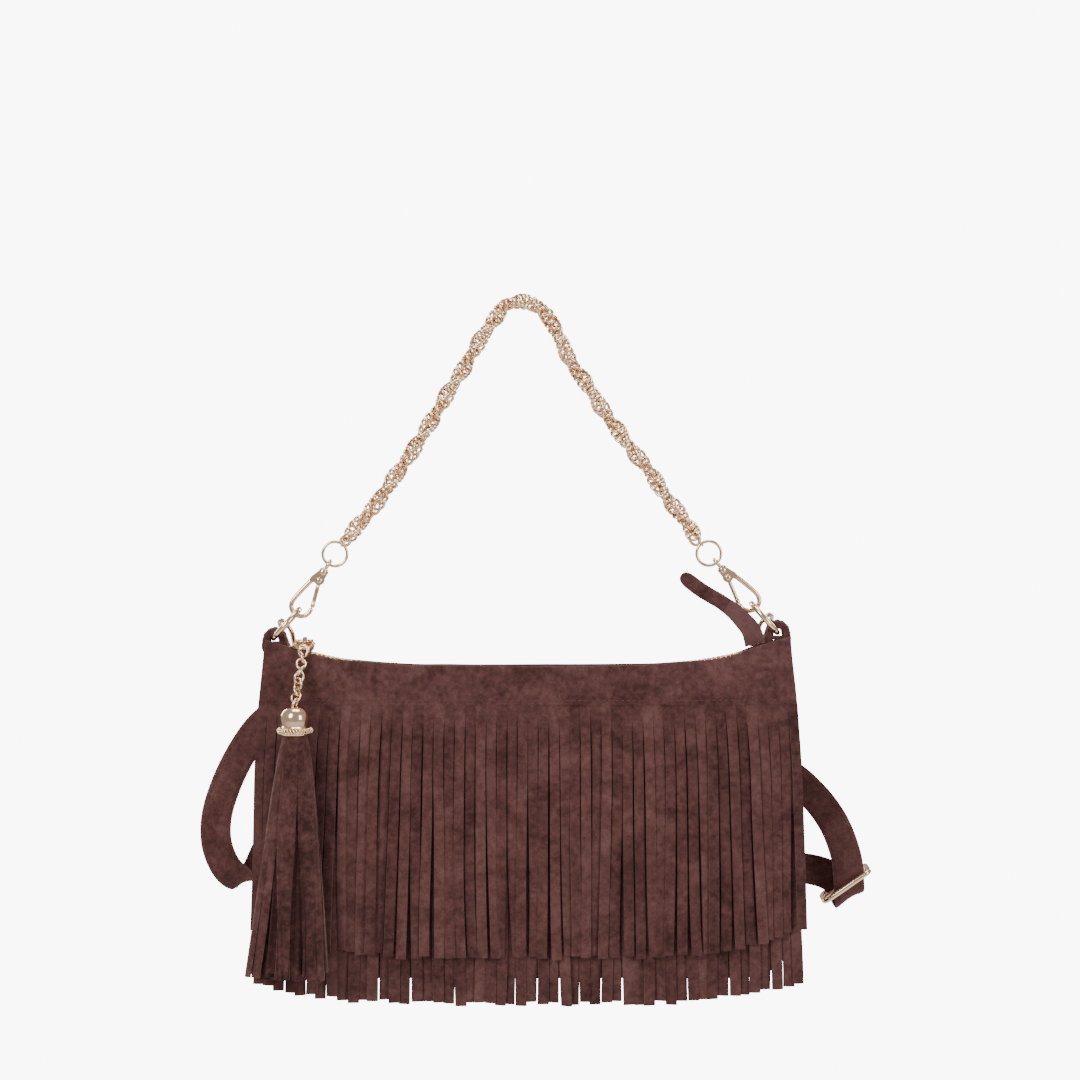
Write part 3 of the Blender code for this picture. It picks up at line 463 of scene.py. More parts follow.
def new_group(name, kind, inputs, outputs):
    """A node group with its sockets made; returns the tree, its input node and its output node."""
    tree = bpy.data.node_groups.new(name, kind)
    for way, sockets in (("INPUT", inputs), ("OUTPUT", outputs)):
        for label, socket_type, *rest in sockets:
            made = tree.interface.new_socket(label, in_out=way, socket_type=socket_type)
            if rest:
                made.default_value = rest[0]
    return tree, tree.nodes.new("NodeGroupInput"), tree.nodes.new("NodeGroupOutput")


def links_along_path():
    """Geometry Nodes tree: closed wire links set one after another along a path."""
    found = bpy.data.node_groups.get("Links along a path")
    if found:
        return found
    tree, given, result = new_group("Links along a path", "GeometryNodeTree", (
        ("Path", "NodeSocketGeometry"), ("Pitch", "NodeSocketFloat", 0.002),
        ("Link radius", "NodeSocketFloat", 0.002), ("Wire radius", "NodeSocketFloat", 0.0005),
        ("Stretch", "NodeSocketFloat", 1.0), ("Turn per link", "NodeSocketFloat", 0.0),
        ("Lean", "NodeSocketFloat", 1.0), ("Material", "NodeSocketMaterial")),
        (("Links", "NodeSocketGeometry"),))
    ins = given.outputs
    spaced = add_node(tree, "GeometryNodeResampleCurve", {"Curve": ins["Path"], "Length": ins["Pitch"]},
                      mode="LENGTH")
    spots = add_node(tree, "GeometryNodeCurveToPoints", {"Curve": spaced.outputs["Curve"]},
                     mode="EVALUATED")
    ring = add_node(tree, "GeometryNodeCurvePrimitiveCircle",
                    {"Resolution": 14, "Radius": ins["Link radius"]}, mode="RADIUS")
    wire = add_node(tree, "GeometryNodeCurvePrimitiveCircle",
                    {"Resolution": 6, "Radius": ins["Wire radius"]}, mode="RADIUS")
    size = add_node(tree, "ShaderNodeCombineXYZ", {"X": 1.0, "Y": ins["Stretch"], "Z": 1.0})
    oval = add_node(tree, "GeometryNodeTransform",
                    {"Geometry": ring.outputs["Curve"], "Scale": size.outputs[0]})
    link = add_node(tree, "GeometryNodeCurveToMesh",
                    {"Curve": oval.outputs["Geometry"], "Profile Curve": wire.outputs["Curve"]})
    index = add_node(tree, "GeometryNodeInputIndex")
    angle = add_node(tree, "ShaderNodeMath", {0: index.outputs[0], 1: ins["Turn per link"]},
                     operation="MULTIPLY")
    turn = add_node(tree, "FunctionNodeAxisAngleToRotation",
                    {"Axis": (0.0, 0.0, 1.0), "Angle": angle.outputs[0]})
    lean = add_node(tree, "FunctionNodeAxisAngleToRotation",
                    {"Axis": (1.0, 0.0, 0.0), "Angle": ins["Lean"]})
    turned_spot = add_node(tree, "FunctionNodeRotateRotation",
                           {"Rotation": spots.outputs["Rotation"], "Rotate By": turn.outputs[0]},
                           rotation_space="LOCAL")
    posed = add_node(tree, "FunctionNodeRotateRotation",
                     {"Rotation": turned_spot.outputs[0], "Rotate By": lean.outputs[0]},
                     rotation_space="LOCAL")
    placed = add_node(tree, "GeometryNodeInstanceOnPoints",
                      {"Points": spots.outputs["Points"], "Instance": link.outputs["Mesh"],
                       "Rotation": posed.outputs[0]})
    return end_tree(tree, placed.outputs["Instances"], ins["Material"], result, "Links")


def stitches_along_path():
    """Geometry Nodes tree: thread stitches along a path."""
    found = bpy.data.node_groups.get("Stitches along a path")
    if found:
        return found
    tree, given, result = new_group("Stitches along a path", "GeometryNodeTree", (
        ("Path", "NodeSocketGeometry"), ("Pitch", "NodeSocketFloat", 0.003),
        ("Length", "NodeSocketFloat", 0.0022), ("Thickness", "NodeSocketFloat", 0.0005),
        ("Material", "NodeSocketMaterial")), (("Stitches", "NodeSocketGeometry"),))
    ins = given.outputs
    spaced = add_node(tree, "GeometryNodeResampleCurve", {"Curve": ins["Path"], "Length": ins["Pitch"]},
                      mode="LENGTH")
    spots = add_node(tree, "GeometryNodeCurveToPoints", {"Curve": spaced.outputs["Curve"]},
                     mode="EVALUATED")
    bead = add_node(tree, "GeometryNodeMeshUVSphere", {"Segments": 6, "Rings": 5, "Radius": 0.5})
    size = add_node(tree, "ShaderNodeCombineXYZ",
                    {"X": ins["Thickness"], "Y": ins["Thickness"], "Z": ins["Length"]})
    thread = add_node(tree, "GeometryNodeTransform",
                      {"Geometry": bead.outputs["Mesh"], "Scale": size.outputs[0]})
    placed = add_node(tree, "GeometryNodeInstanceOnPoints",
                      {"Points": spots.outputs["Points"], "Instance": thread.outputs["Geometry"],
                       "Rotation": spots.outputs["Rotation"]})
    return end_tree(tree, placed.outputs["Instances"], ins["Material"], result, "Stitches")


def teeth_along_path():
    """Geometry Nodes tree: zip teeth standing across a path."""
    found = bpy.data.node_groups.get("Zip teeth along a path")
    if found:
        return found
    tree, given, result = new_group("Zip teeth along a path", "GeometryNodeTree", (
        ("Path", "NodeSocketGeometry"), ("Pitch", "NodeSocketFloat", 0.0024),
        ("Width", "NodeSocketFloat", 0.0032), ("Length", "NodeSocketFloat", 0.0013),
        ("Thickness", "NodeSocketFloat", 0.0016), ("Material", "NodeSocketMaterial")),
        (("Teeth", "NodeSocketGeometry"),))
    ins = given.outputs
    level = add_node(tree, "GeometryNodeSetCurveNormal", {"Curve": ins["Path"]}, mode="Z_UP")
    spaced = add_node(tree, "GeometryNodeResampleCurve",
                      {"Curve": level.outputs["Curve"], "Length": ins["Pitch"]}, mode="LENGTH")
    spots = add_node(tree, "GeometryNodeCurveToPoints", {"Curve": spaced.outputs["Curve"]},
                     mode="EVALUATED")
    size = add_node(tree, "ShaderNodeCombineXYZ",
                    {"X": ins["Width"], "Y": ins["Thickness"], "Z": ins["Length"]})
    tooth = add_node(tree, "GeometryNodeMeshCube", {"Size": size.outputs[0]})
    placed = add_node(tree, "GeometryNodeInstanceOnPoints",
                      {"Points": spots.outputs["Points"], "Instance": tooth.outputs["Mesh"],
                       "Rotation": spots.outputs["Rotation"]})
    return end_tree(tree, placed.outputs["Instances"], ins["Material"], result, "Teeth")


def end_tree(tree, instances, mat, result, label):
    real = add_node(tree, "GeometryNodeRealizeInstances", {"Geometry": instances})
    named = add_node(tree, "GeometryNodeSetMaterial", {"Geometry": real.outputs["Geometry"], "Material": mat})
    tree.links.new(named.outputs["Geometry"], result.inputs[label])
    return tree


def grow(name, tree, paths, values, mat, body, replaces=()):
    """Runs a tree over poly paths in millimetres and keeps the result as a plain mesh."""
    curve = bpy.data.curves.new(f"{name}_path", "CURVE")
    curve.dimensions = "3D"
    for points in paths:
        spline = curve.splines.new("POLY")
        spline.points.add(len(points) - 1)
        for spot, p in zip(spline.points, points):
            spot.co = (*(Vector(p) * MM), 1.0)
    source = add_object(f"{name}_path", curve)
    modifier = source.modifiers.new("Grow", "NODES")
    modifier.node_group = tree
    for item in tree.interface.items_tree:
        if item.in_out == "INPUT" and item.name in values:
            modifier[item.identifier] = values[item.name]
        if item.in_out == "INPUT" and item.name == "Material":
            modifier[item.identifier] = mat
    bpy.context.view_layer.update()
    graph = bpy.context.evaluated_depsgraph_get()
    mesh = bpy.data.meshes.new_from_object(source.evaluated_get(graph), depsgraph=graph)
    mesh.name = name
    source.modifiers.remove(modifier)
    bpy.data.objects.remove(source, do_unlink=True)
    if not mesh.polygons:
        raise RuntimeError(f"{name} came out empty")
    if not mesh.materials:
        mesh.materials.append(mat)
    mesh.shade_smooth()
    return settle(add_object(name, mesh), body, replaces)


# ---- materials -----------------------------------------------------------------------------------

def suede_nap():
    """Shader group: brushed nap in soft patches, with short fibres for the bump."""
    found = bpy.data.node_groups.get("Suede nap")
    if found:
        return found
    tree, given, result = new_group("Suede nap", "ShaderNodeTree", (
        ("Vector", "NodeSocketVector"), ("Even", "NodeSocketColor"), ("Dark", "NodeSocketColor"),
        ("Light", "NodeSocketColor"), ("Patchiness", "NodeSocketFloat", 1.0),
        ("Shade", "NodeSocketFloat", 0.0)),
        (("Color", "NodeSocketColor"), ("Roughness", "NodeSocketFloat"), ("Height", "NodeSocketFloat")))
    ins = given.outputs
    patch = add_node(tree, "ShaderNodeTexNoise", {"Vector": ins["Vector"], "Scale": 52.0, "Detail": 3.0,
                                                  "Roughness": 0.6, "Distortion": 0.6})
    mottle = add_node(tree, "ShaderNodeTexNoise", {"Vector": ins["Vector"], "Scale": 330.0, "Detail": 4.0,
                                                   "Roughness": 0.65})
    fibre = add_node(tree, "ShaderNodeTexNoise", {"Vector": ins["Vector"], "Scale": 2300.0, "Detail": 2.0})
    both = add_node(tree, "ShaderNodeMath", {0: patch.outputs["Fac"], 1: mottle.outputs["Fac"]},
                    operation="ADD")
    spread = add_node(tree, "ShaderNodeMapRange",
                      {"Value": both.outputs[0], "From Min": 0.74, "From Max": 1.26,
                       "To Min": -1.0, "To Max": 1.0})
    scaled = add_node(tree, "ShaderNodeMath", {0: spread.outputs[0], 1: ins["Patchiness"]},
                      operation="MULTIPLY")
    shaded = add_node(tree, "ShaderNodeMath", {0: scaled.outputs[0], 1: ins["Shade"]}, operation="ADD")
    up = add_node(tree, "ShaderNodeMath", {0: shaded.outputs[0], 1: 0.0}, operation="MAXIMUM",
                  use_clamp=True)
    less = add_node(tree, "ShaderNodeMath", {0: shaded.outputs[0], 1: -1.0}, operation="MULTIPLY",
                    use_clamp=True)
    darker = add_node(tree, "ShaderNodeMix", {"Factor": less.outputs[0]}, data_type="RGBA")
    tree.links.new(ins["Even"], darker.inputs[6])
    tree.links.new(ins["Dark"], darker.inputs[7])
    lighter = add_node(tree, "ShaderNodeMix", {"Factor": up.outputs[0]}, data_type="RGBA")
    tree.links.new(darker.outputs[2], lighter.inputs[6])
    tree.links.new(ins["Light"], lighter.inputs[7])
    flecks = add_node(tree, "ShaderNodeMapRange",
                      {"Value": fibre.outputs["Fac"], "From Min": 0.3, "From Max": 0.7,
                       "To Min": 0.78, "To Max": 1.18})
    final = add_node(tree, "ShaderNodeMix", {"Factor": 1.0}, data_type="RGBA", blend_type="MULTIPLY")
    tree.links.new(lighter.outputs[2], final.inputs[6])
    tree.links.new(flecks.outputs[0], final.inputs[7])
    rough = add_node(tree, "ShaderNodeMapRange",
                     {"Value": shaded.outputs[0], "From Min": -1.0, "From Max": 1.0,
                      "To Min": 0.98, "To Max": 0.84})
    short = add_node(tree, "ShaderNodeMath", {0: fibre.outputs["Fac"], 1: mottle.outputs["Fac"]},
                     operation="ADD")
    tree.links.new(final.outputs[2], result.inputs["Color"])
    tree.links.new(rough.outputs[0], result.inputs["Roughness"])
    tree.links.new(short.outputs[0], result.inputs["Height"])
    return tree


def new_material(name):
    mat = bpy.data.materials.new(name)
    mat.use_nodes = True
    tree = mat.node_tree
    shader = tree.nodes["Principled BSDF"]
    coords = tree.nodes.new("ShaderNodeTexCoord")
    return mat, tree, shader, coords.outputs["Object"]


def add_bump(tree, shader, height, strength, distance):
    bump = add_node(tree, "ShaderNodeBump", {"Height": height, "Strength": strength, "Distance": distance})
    tree.links.new(bump.outputs["Normal"], shader.inputs["Normal"])


def suede(name, lift=1.0, patchiness=1.0):
    """Suede in the bag's colours; lift makes this piece's colours lighter or darker."""
    found = bpy.data.materials.get(name)
    if found:
        return found
    fabric = bpy.context.scene.bag_fabric
    mat, tree, shader, coords = new_material(name)
    # Per-strip shade value: random tone on the fringe, and painted shade on the tassel skirt's inner tiers.
    shade = add_node(tree, "ShaderNodeAttribute", attribute_name="shade", attribute_type="GEOMETRY")
    nap = add_node(tree, "ShaderNodeGroup", node_tree=suede_nap())
    tree.links.new(coords, nap.inputs["Vector"])
    tree.links.new(shade.outputs["Fac"], nap.inputs["Shade"])
    for socket, colour in (("Even", fabric.suede_mid), ("Dark", fabric.suede_dark),
                           ("Light", fabric.suede_light)):
        nap.inputs[socket].default_value = (*(c * lift for c in colour), 1.0)
    nap.inputs["Patchiness"].default_value = patchiness
    tree.links.new(nap.outputs["Color"], shader.inputs["Base Color"])
    tree.links.new(nap.outputs["Roughness"], shader.inputs["Roughness"])
    shader.inputs["Specular IOR Level"].default_value = 0.15
    shader.inputs["Sheen Weight"].default_value = 0.22
    shader.inputs["Sheen Roughness"].default_value = 0.45
    shader.inputs["Sheen Tint"].default_value = (0.85, 0.50, 0.44, 1.0)
    add_bump(tree, shader, nap.outputs["Height"], 0.45, 0.00035)
    return mat


def gold():
    """Polished pale gold plating, with faint waviness and fine rubbed marks."""
    found = bpy.data.materials.get("gold_plating")
    if found:
        return found
    colour = bpy.context.scene.bag_metal.gold_colour
    mat, tree, shader, coords = new_material("gold_plating")
    cloud = add_node(tree, "ShaderNodeTexNoise", {"Vector": coords, "Scale": 140.0, "Detail": 3.0})
    marks = add_node(tree, "ShaderNodeTexNoise", {"Vector": coords, "Scale": 1500.0, "Detail": 2.0})
    tint = add_node(tree, "ShaderNodeMix", {"Factor": cloud.outputs["Fac"]}, data_type="RGBA")
    tint.inputs[6].default_value = (*(c * 0.90 for c in colour), 1.0)
    tint.inputs[7].default_value = (colour[0], colour[1] * 1.04, colour[2] * 1.10, 1.0)
    rough = add_node(tree, "ShaderNodeMapRange",
                     {"Value": marks.outputs["Fac"], "From Min": 0.3, "From Max": 0.7,
                      "To Min": 0.10, "To Max": 0.19})
    tree.links.new(tint.outputs[2], shader.inputs["Base Color"])
    tree.links.new(rough.outputs[0], shader.inputs["Roughness"])
    shader.inputs["Metallic"].default_value = 1.0
    add_bump(tree, shader, cloud.outputs["Fac"], 0.08, 0.0003)
    return mat


def woven(name, colour, thread_pitch, strength):
    """Plain woven cloth: ribs both ways at the thread's pitch, with uneven dye."""
    found = bpy.data.materials.get(name)
    if found:
        return found
    mat, tree, shader, coords = new_material(name)
    scale = 0.314 / thread_pitch
    warp = add_node(tree, "ShaderNodeTexWave", {"Vector": coords, "Scale": scale, "Distortion": 0.4},
                    wave_type="BANDS", bands_direction="X")
    weft = add_node(tree, "ShaderNodeTexWave", {"Vector": coords, "Scale": scale, "Distortion": 0.4},
                    wave_type="BANDS", bands_direction="Z")
    weave = add_node(tree, "ShaderNodeMath", {0: warp.outputs["Fac"], 1: weft.outputs["Fac"]},
                     operation="MULTIPLY")
    dye = add_node(tree, "ShaderNodeTexNoise", {"Vector": coords, "Scale": 260.0, "Detail": 3.0})
    level = add_node(tree, "ShaderNodeMath", {0: weave.outputs[0], 1: dye.outputs["Fac"]},
                     operation="ADD")
    tint = add_node(tree, "ShaderNodeMix", {"Factor": level.outputs[0]}, data_type="RGBA",
                    clamp_factor=True)
    tint.inputs[6].default_value = (*(c * 0.55 for c in colour), 1.0)
    tint.inputs[7].default_value = (*(c * 1.35 for c in colour), 1.0)
    tree.links.new(tint.outputs[2], shader.inputs["Base Color"])
    rough = add_node(tree, "ShaderNodeMapRange",
                     {"Value": dye.outputs["Fac"], "To Min": 0.75, "To Max": 0.95})
    tree.links.new(rough.outputs[0], shader.inputs["Roughness"])
    shader.inputs["Specular IOR Level"].default_value = 0.25
    add_bump(tree, shader, weave.outputs[0], strength, 0.0003)
    return mat


def thread():
    """Sewing thread in the suede's own colour, a little lighter and smoother than the nap."""
    return woven("sewing_thread", tuple(c * 1.25 for c in bpy.context.scene.bag_fabric.suede_mid),
                 0.00035, 0.5)


def tape_cloth():
    return woven("zip_tape_cloth", tuple(bpy.context.scene.bag_fabric.tape_colour), 0.0006, 0.6)


def lining_cloth():
    return woven("lining_cloth_weave", tuple(bpy.context.scene.bag_fabric.lining_colour), 0.0005, 0.4)


# ---- handle: rope chain, rings and hooks ---------------------------------------------------------

def swivel_point(side):
    low, lean = RINGS[side]
    return low + leaning(lean) * 2 * RING_MEAN_R - leaning(HOOK_LEAN[side]) * HOOK_REST_Z


def make_chain():
    """Two strands of small wire links twisted round each other from O-ring to O-ring."""
    metal = bpy.context.scene.bag_metal
    centre = smooth_route(CHAIN_ROUTE, 0.5)
    strands = []
    strand_r, turn_length = 1.55, 33.0
    for phase in (0.0, math.pi):
        points, run = [], 0.0
        for i, p in enumerate(centre):
            after, before = centre[min(i + 1, len(centre) - 1)], centre[max(i - 1, 0)]
            along = (after - before).normalized()
            run += (p - before).length if i else 0.0
            up = along.cross(Vector((0, 1, 0))).normalized()
            angle = 2 * math.pi * run / turn_length + phase
            points.append(p + (Vector((0, 1, 0)) * math.cos(angle) + up * math.sin(angle)) * strand_r)
        strands.append(points)
    turn_per_link = 2 * math.pi * metal.link_pitch / MM / turn_length
    values = {"Pitch": metal.link_pitch, "Link radius": metal.link_radius,
              "Wire radius": metal.link_wire, "Stretch": 1.3, "Turn per link": turn_per_link,
              "Lean": math.radians(56.0)}
    grow("rope_chain_links", links_along_path(), strands, values, gold(), "handle",
         replaces=("rope_chain",))
    bm = bmesh.new()
    for side, end in (("left", centre[0]), ("right", centre[-1])):
        o_ring = swivel_point(side) + leaning(HOOK_LEAN[side]) * O_RING_RISE
        towards = (end - o_ring).normalized()
        hold = o_ring + towards * (O_RING_MEAN_R + 1.55)
        torus(bm, hold, towards, Vector((0, 1, 0)), 2.5, 0.6, 28, 10)
    finish_piece("rope_chain_end_links", bm, gold(), "handle")


def make_rings():
    """The two O-rings on the handle and the two large rings in the bag's tabs."""
    for side in ("left", "right"):
        lean = leaning(HOOK_LEAN[side])
        across = Vector((lean.z, 0, -lean.x))
        bm = bmesh.new()
        torus(bm, swivel_point(side) + lean * O_RING_RISE, lean, across, O_RING_MEAN_R, O_RING_WIRE_R)
        finish_piece(f"oring_{side}_round", bm, gold(), "handle", (f"oring_{side}",))
        low, ring_lean = RINGS[side]
        up = leaning(ring_lean)
        bm = bmesh.new()
        torus(bm, low + up * RING_MEAN_R, up, Vector((0, 1, 0)), RING_MEAN_R, RING_WIRE_R, 80, 20)
        finish_piece(f"ring_{side}_round", bm, gold(), f"ring_{side}", (f"ring_{side}",))


def hook_parts(strap_eye):
    """One swivel hook about its swivel point, hanging down -Z, as four meshes in millimetres."""
    parts = {}
    body = bmesh.new()
    outline = [Vector((-2.4, 0, -2.2)), Vector((2.4, 0, -2.2))]
    outline += arc(RIVET.x, RIVET.z, 2.6, 40, -120, 14) + [Vector((-3.9, 0, -9.2)), Vector((-4.1, 0, -7.0))]
    for low_y, high_y in ((-1.6, -0.8), (0.8, 1.6)):
        plate(body, outline, low_y, high_y, 0.22)
    turned(body, ((0.0, 0.3), (1.2, 0.3), (2.3, 0.45), (2.5, 0.8), (2.5, 2.6), (2.3, 3.1), (1.8, 3.4),
                  (0.0, 3.4)), (0, 0, 0), 32)
    limb = [Vector((-2.6, 0, -7.4)), Vector((-3.4, 0, -11.0)), Vector((-4.4, 0, -16.0)),
            Vector((-5.1, 0, -20.6))] + arc(0.0, -22.8, 5.2, 186, 372, 14)
    limb = smooth_route(limb, 0.7)
    radii = [1.42 - 0.22 * min(i / len(limb) * 1.6, 1.0) for i in range(len(limb))]
    tube(body, limb, radii, 14, flat=0.92, round_ends=True)
    parts["body"] = body
    gate = bmesh.new()
    along = (GATE_TIP - RIVET).normalized()
    tube(gate, [RIVET + along * s for s in (1.0, 2.2, 2.9)], (0.5, 0.55, 0.8), 12)
    tube(gate, [RIVET + along * s for s in (2.9, 5.0, 8.0, 11.0, 12.2, 12.5, 13.6)],
         (1.1, 1.1, 1.1, 1.1, 1.1, 1.25, 1.25), 14, round_ends=True)
    turned(gate, ((0.0, 0.0), (1.75, 0.0), (1.9, 0.12), (1.9, 0.88), (1.75, 1.0), (0.0, 1.0)),
           RIVET + Vector((0, -0.5, 0)), 24, axis=(0, 1, 0))
    parts["gate"] = gate
    rivet = bmesh.new()
    turned(rivet, ((0.0, 0.0), (0.7, 0.06), (1.2, 0.25), (1.55, 0.55), (1.6, 0.75), (0.8, 0.78),
                   (0.8, 4.1), (1.6, 4.13), (1.55, 4.35), (1.2, 4.65), (0.7, 4.84), (0.0, 4.9)),
           RIVET + Vector((0, -2.45, 0)), 24, axis=(0, 1, 0))
    parts["rivet"] = rivet
    eye = bmesh.new()
    if strap_eye:
        half, low, high, r = STRAP_WIDTH / 2 + 1.6, 1.9, 8.6, 1.6
        path = []
        for cx, cz, start in ((half - r, high - r, 0), (-half + r, high - r, 90),
                              (-half + r, low + r, 180), (half - r, low + r, 270)):
            path += arc(cx, cz, r, start, start + 90, 6)
        tube(eye, path, 1.0, 14, closed=True)
    else:
        torus(eye, (0, 0, 2.9), (0, 0, 1), (0, 1, 0), 2.1, 1.0, 32, 12)
    turned(eye, ((0.0, -1.9), (0.85, -1.9), (0.85, -0.4), (1.6, -0.3), (1.75, 0.1), (1.6, 1.3), (1.2, 1.8),
                 (0.0, 1.9)), (0, 0, 0), 24)
    parts["eye"] = eye
    return parts


def hang_hook(prefix, turn, swivel, bodies, eye_turn=None, strap_eye=False):
    for part, bm in hook_parts(strap_eye).items():
        place = Matrix.Translation(swivel) @ (eye_turn if part == "eye" and eye_turn else turn)
        bmesh.ops.transform(bm, matrix=place, verts=bm.verts)
        finish_piece(f"{prefix}_{part}_polished", bm, gold(), bodies[part], (f"{prefix}_{part}",))


def make_hooks():
    """The handle's two hooks and the strap's two hooks, each with body, gate, rivet and eye."""
    for side in ("left", "right"):
        turn = Matrix.Rotation(HOOK_LEAN[side], 4, "Y")
        if side == "right":
            turn = turn @ Matrix.Rotation(math.pi, 4, "Z")
        hang_hook(f"hook_{side}", turn, swivel_point(side),
                  {"body": f"hook_{side}", "rivet": f"hook_{side}", "gate": f"gate_{side}",
                   "eye": "handle"})
        low, ring_lean = RINGS[side]
        up = leaning(ring_lean)
        sweep = STRAP_HOOK_SWEEP
        wire = low + (up * (1 - math.cos(sweep)) + Vector((0, math.sin(sweep), 0))) * RING_MEAN_R
        tangent = up * math.sin(sweep) + Vector((0, math.cos(sweep), 0))
        hang = Vector((0.15 if side == "left" else -0.15, 0.6, -0.78)).normalized()
        prefix = f"strap_hook_{side}"
        hang_hook(prefix, facing(hang, tangent), wire - hang * HOOK_REST_Z,
                  {"body": prefix, "rivet": prefix, "gate": f"strap_gate_{side}", "eye": "bag"},
                  eye_turn=facing(hang, Vector((0, 1, 0))), strap_eye=True)


# ---- bag: bands, panels, gusset, tabs ---------------------------------------------------------------

def make_bands():
    """Front and back top bands with a rolled upper edge."""
    half = BAND_THICK / 2
    for word, side in (("front", -1), ("back", 1)):
        bm = bmesh.new()
        rings = []
        columns = 150
        for i in range(columns + 1):
            u = -1 + 2 * i / columns
            top = band_top_z(u * HALF_WIDTH_TOP, side)
            end = min(1.0, (1 - abs(u)) * 60)
            ring = []
            for k in range(9):
                z = SEAM_Z + (top - half - SEAM_Z) * k / 8
                swell = 0.5 * math.sin(math.pi * k / 8)
                sink = 0.35 * (1 - end) - swell
                p = face_point(u, z, sink, side)
                p.y += ripple(p, 16.0, 0.55)
                ring.append(p)
            for angle in (30, 60, 90, 120, 150):
                a = math.radians(angle)
                p = face_point(u, top - half + half * math.sin(a), half - half * math.cos(a), side)
                p.y += ripple(p, 16.0, 0.55)
                p.z += ripple(p, 24.0, 0.5)
                ring.append(p)
            for k in range(5):
                z = top - half + (SEAM_Z - top + half) * k / 4
                ring.append(face_point(u, z, BAND_THICK, side))
            rings.append(ring)
        skin(bm, rings)
        finish_piece(f"{word}_band_suede", bm, suede("brushed_suede_band", 1.0, 0.8), "bag",
                     (f"{word}_band",))


def panel_edges(z):
    """How far the panel's side has come in at a height, round the bottom corner."""
    above = z - (BOTTOM_Z + BOTTOM_CORNER_R)
    if above >= 0:
        return 0.0
    return BOTTOM_CORNER_R - math.sqrt(max(BOTTOM_CORNER_R ** 2 - above ** 2, 0.0))


def make_panels():
    """Front and back panels, gusset and lining."""
    columns, rows = 72, 44
    for word, side in (("front", -1), ("back", 1)):
        bm = bmesh.new()
        rings = []
        for j in range(rows + 1):
            z = SEAM_Z - 0.3 + (BOTTOM_Z - SEAM_Z + 0.3) * j / rows
            outer, inner = [], []
            for i in range(columns + 1):
                u = math.sin((-1 + 2 * i / columns) * math.pi / 2)
                x = u * (half_width(z) - PANEL_INSET - panel_edges(z))
                depth = front_depth(u, z) - PANEL_SINK
                free = (1 - u * u) * min(j, rows - j) / rows * 2
                sag = ripple((x, side * 50, z * 0.6), 44.0, 4.2) * free
                sag += ripple((x, side * 90, z), 17.0, 1.0) * free
                outer.append(Vector((x, side * (depth + min(sag, 1.6)), z)))
                inner.append(Vector((x, side * (depth - PANEL_THICK + min(sag, 1.6)), z)))
            rings.append(outer + list(reversed(inner)))
        skin(bm, rings)
        finish_piece(f"{word}_panel_suede", bm, suede("brushed_suede_panel", 0.94, 1.0), "bag",
                     (f"{word}_panel",))
    make_gusset()
    make_lining()


def make_gusset():
    path = []
    straight = GUSSET_TOP_Z - BOTTOM_Z - BOTTOM_CORNER_R
    for k in range(40):
        z = GUSSET_TOP_Z - straight * k / 40
        path.append((half_width(z) - PANEL_INSET, z))
    x_corner = path[-1][0] - BOTTOM_CORNER_R
    path += [(p.x, p.z) for p in arc(x_corner, BOTTOM_Z + BOTTOM_CORNER_R, BOTTOM_CORNER_R, -4, -90, 18)]
    path += [(x_corner * (1 - k / 16), BOTTOM_Z) for k in range(1, 17)]
    outline = path + [(-x, z) for x, z in reversed(path[:-1])]
    rings = []
    for i, (x, z) in enumerate(outline):
        before, after = outline[max(i - 1, 0)], outline[min(i + 1, len(outline) - 1)]
        inward = Vector((after[1] - before[1], 0, before[0] - after[0])).normalized()
        wide = interpolate(EDGE_DEPTH, z) - PANEL_SINK - PANEL_THICK - 0.3
        outer, inner = [], []
        for k in range(9):
            share = 2 * k / 8 - 1
            dip = (1 - share * share) * min(wide * 0.14, 1.5)
            p = Vector((x, wide * share, z)) + inward * (dip + ripple((x, wide * share, z), 22.0, 0.7))
            outer.append(p)
            inner.append(p + inward * PANEL_THICK)
        rings.append(outer + list(reversed(inner)))
    bm = bmesh.new()
    skin(bm, rings)
    finish_piece("gusset_suede", bm, suede("brushed_suede_panel", 0.94, 1.0), "bag", ("gusset",))


def make_lining():
    """The lining pouch: a thin closed cloth shell, open at the zip."""
    corner, top, depth_in = 30.0, -190.0, 0.8

    def ring(z, shrink):
        half_x = half_width(z) - 6.5 - shrink
        above = BOTTOM_Z + corner - z
        if above > 0:
            half_x -= corner - math.sqrt(max(corner ** 2 - above ** 2, 0.0))
        front, back = [], []
        for k in range(33):
            x = half_x * math.sin((2 * k / 32 - 1) * math.pi / 2)
            y = front_depth(x / half_width(z), z) - PANEL_SINK - PANEL_THICK - 1.1 - shrink
            front.append(Vector((x, -y, z)))
            back.append(Vector((-x, y, z)))
        return front + back
    levels = [top - (top - BOTTOM_Z - 3.0) * k / 30 for k in range(31)]
    outside = [ring(z, 0.0) for z in reversed(levels)]
    inside = [ring(z, depth_in) for z in levels[:-1]]
    floor = [Vector((p.x, p.y, levels[-1] + depth_in)) for p in ring(levels[-1], depth_in)]
    bm = bmesh.new()
    skin(bm, outside + inside + [floor])
    finish_piece("lining_pouch", bm, lining_cloth(), "bag", ("lining",))


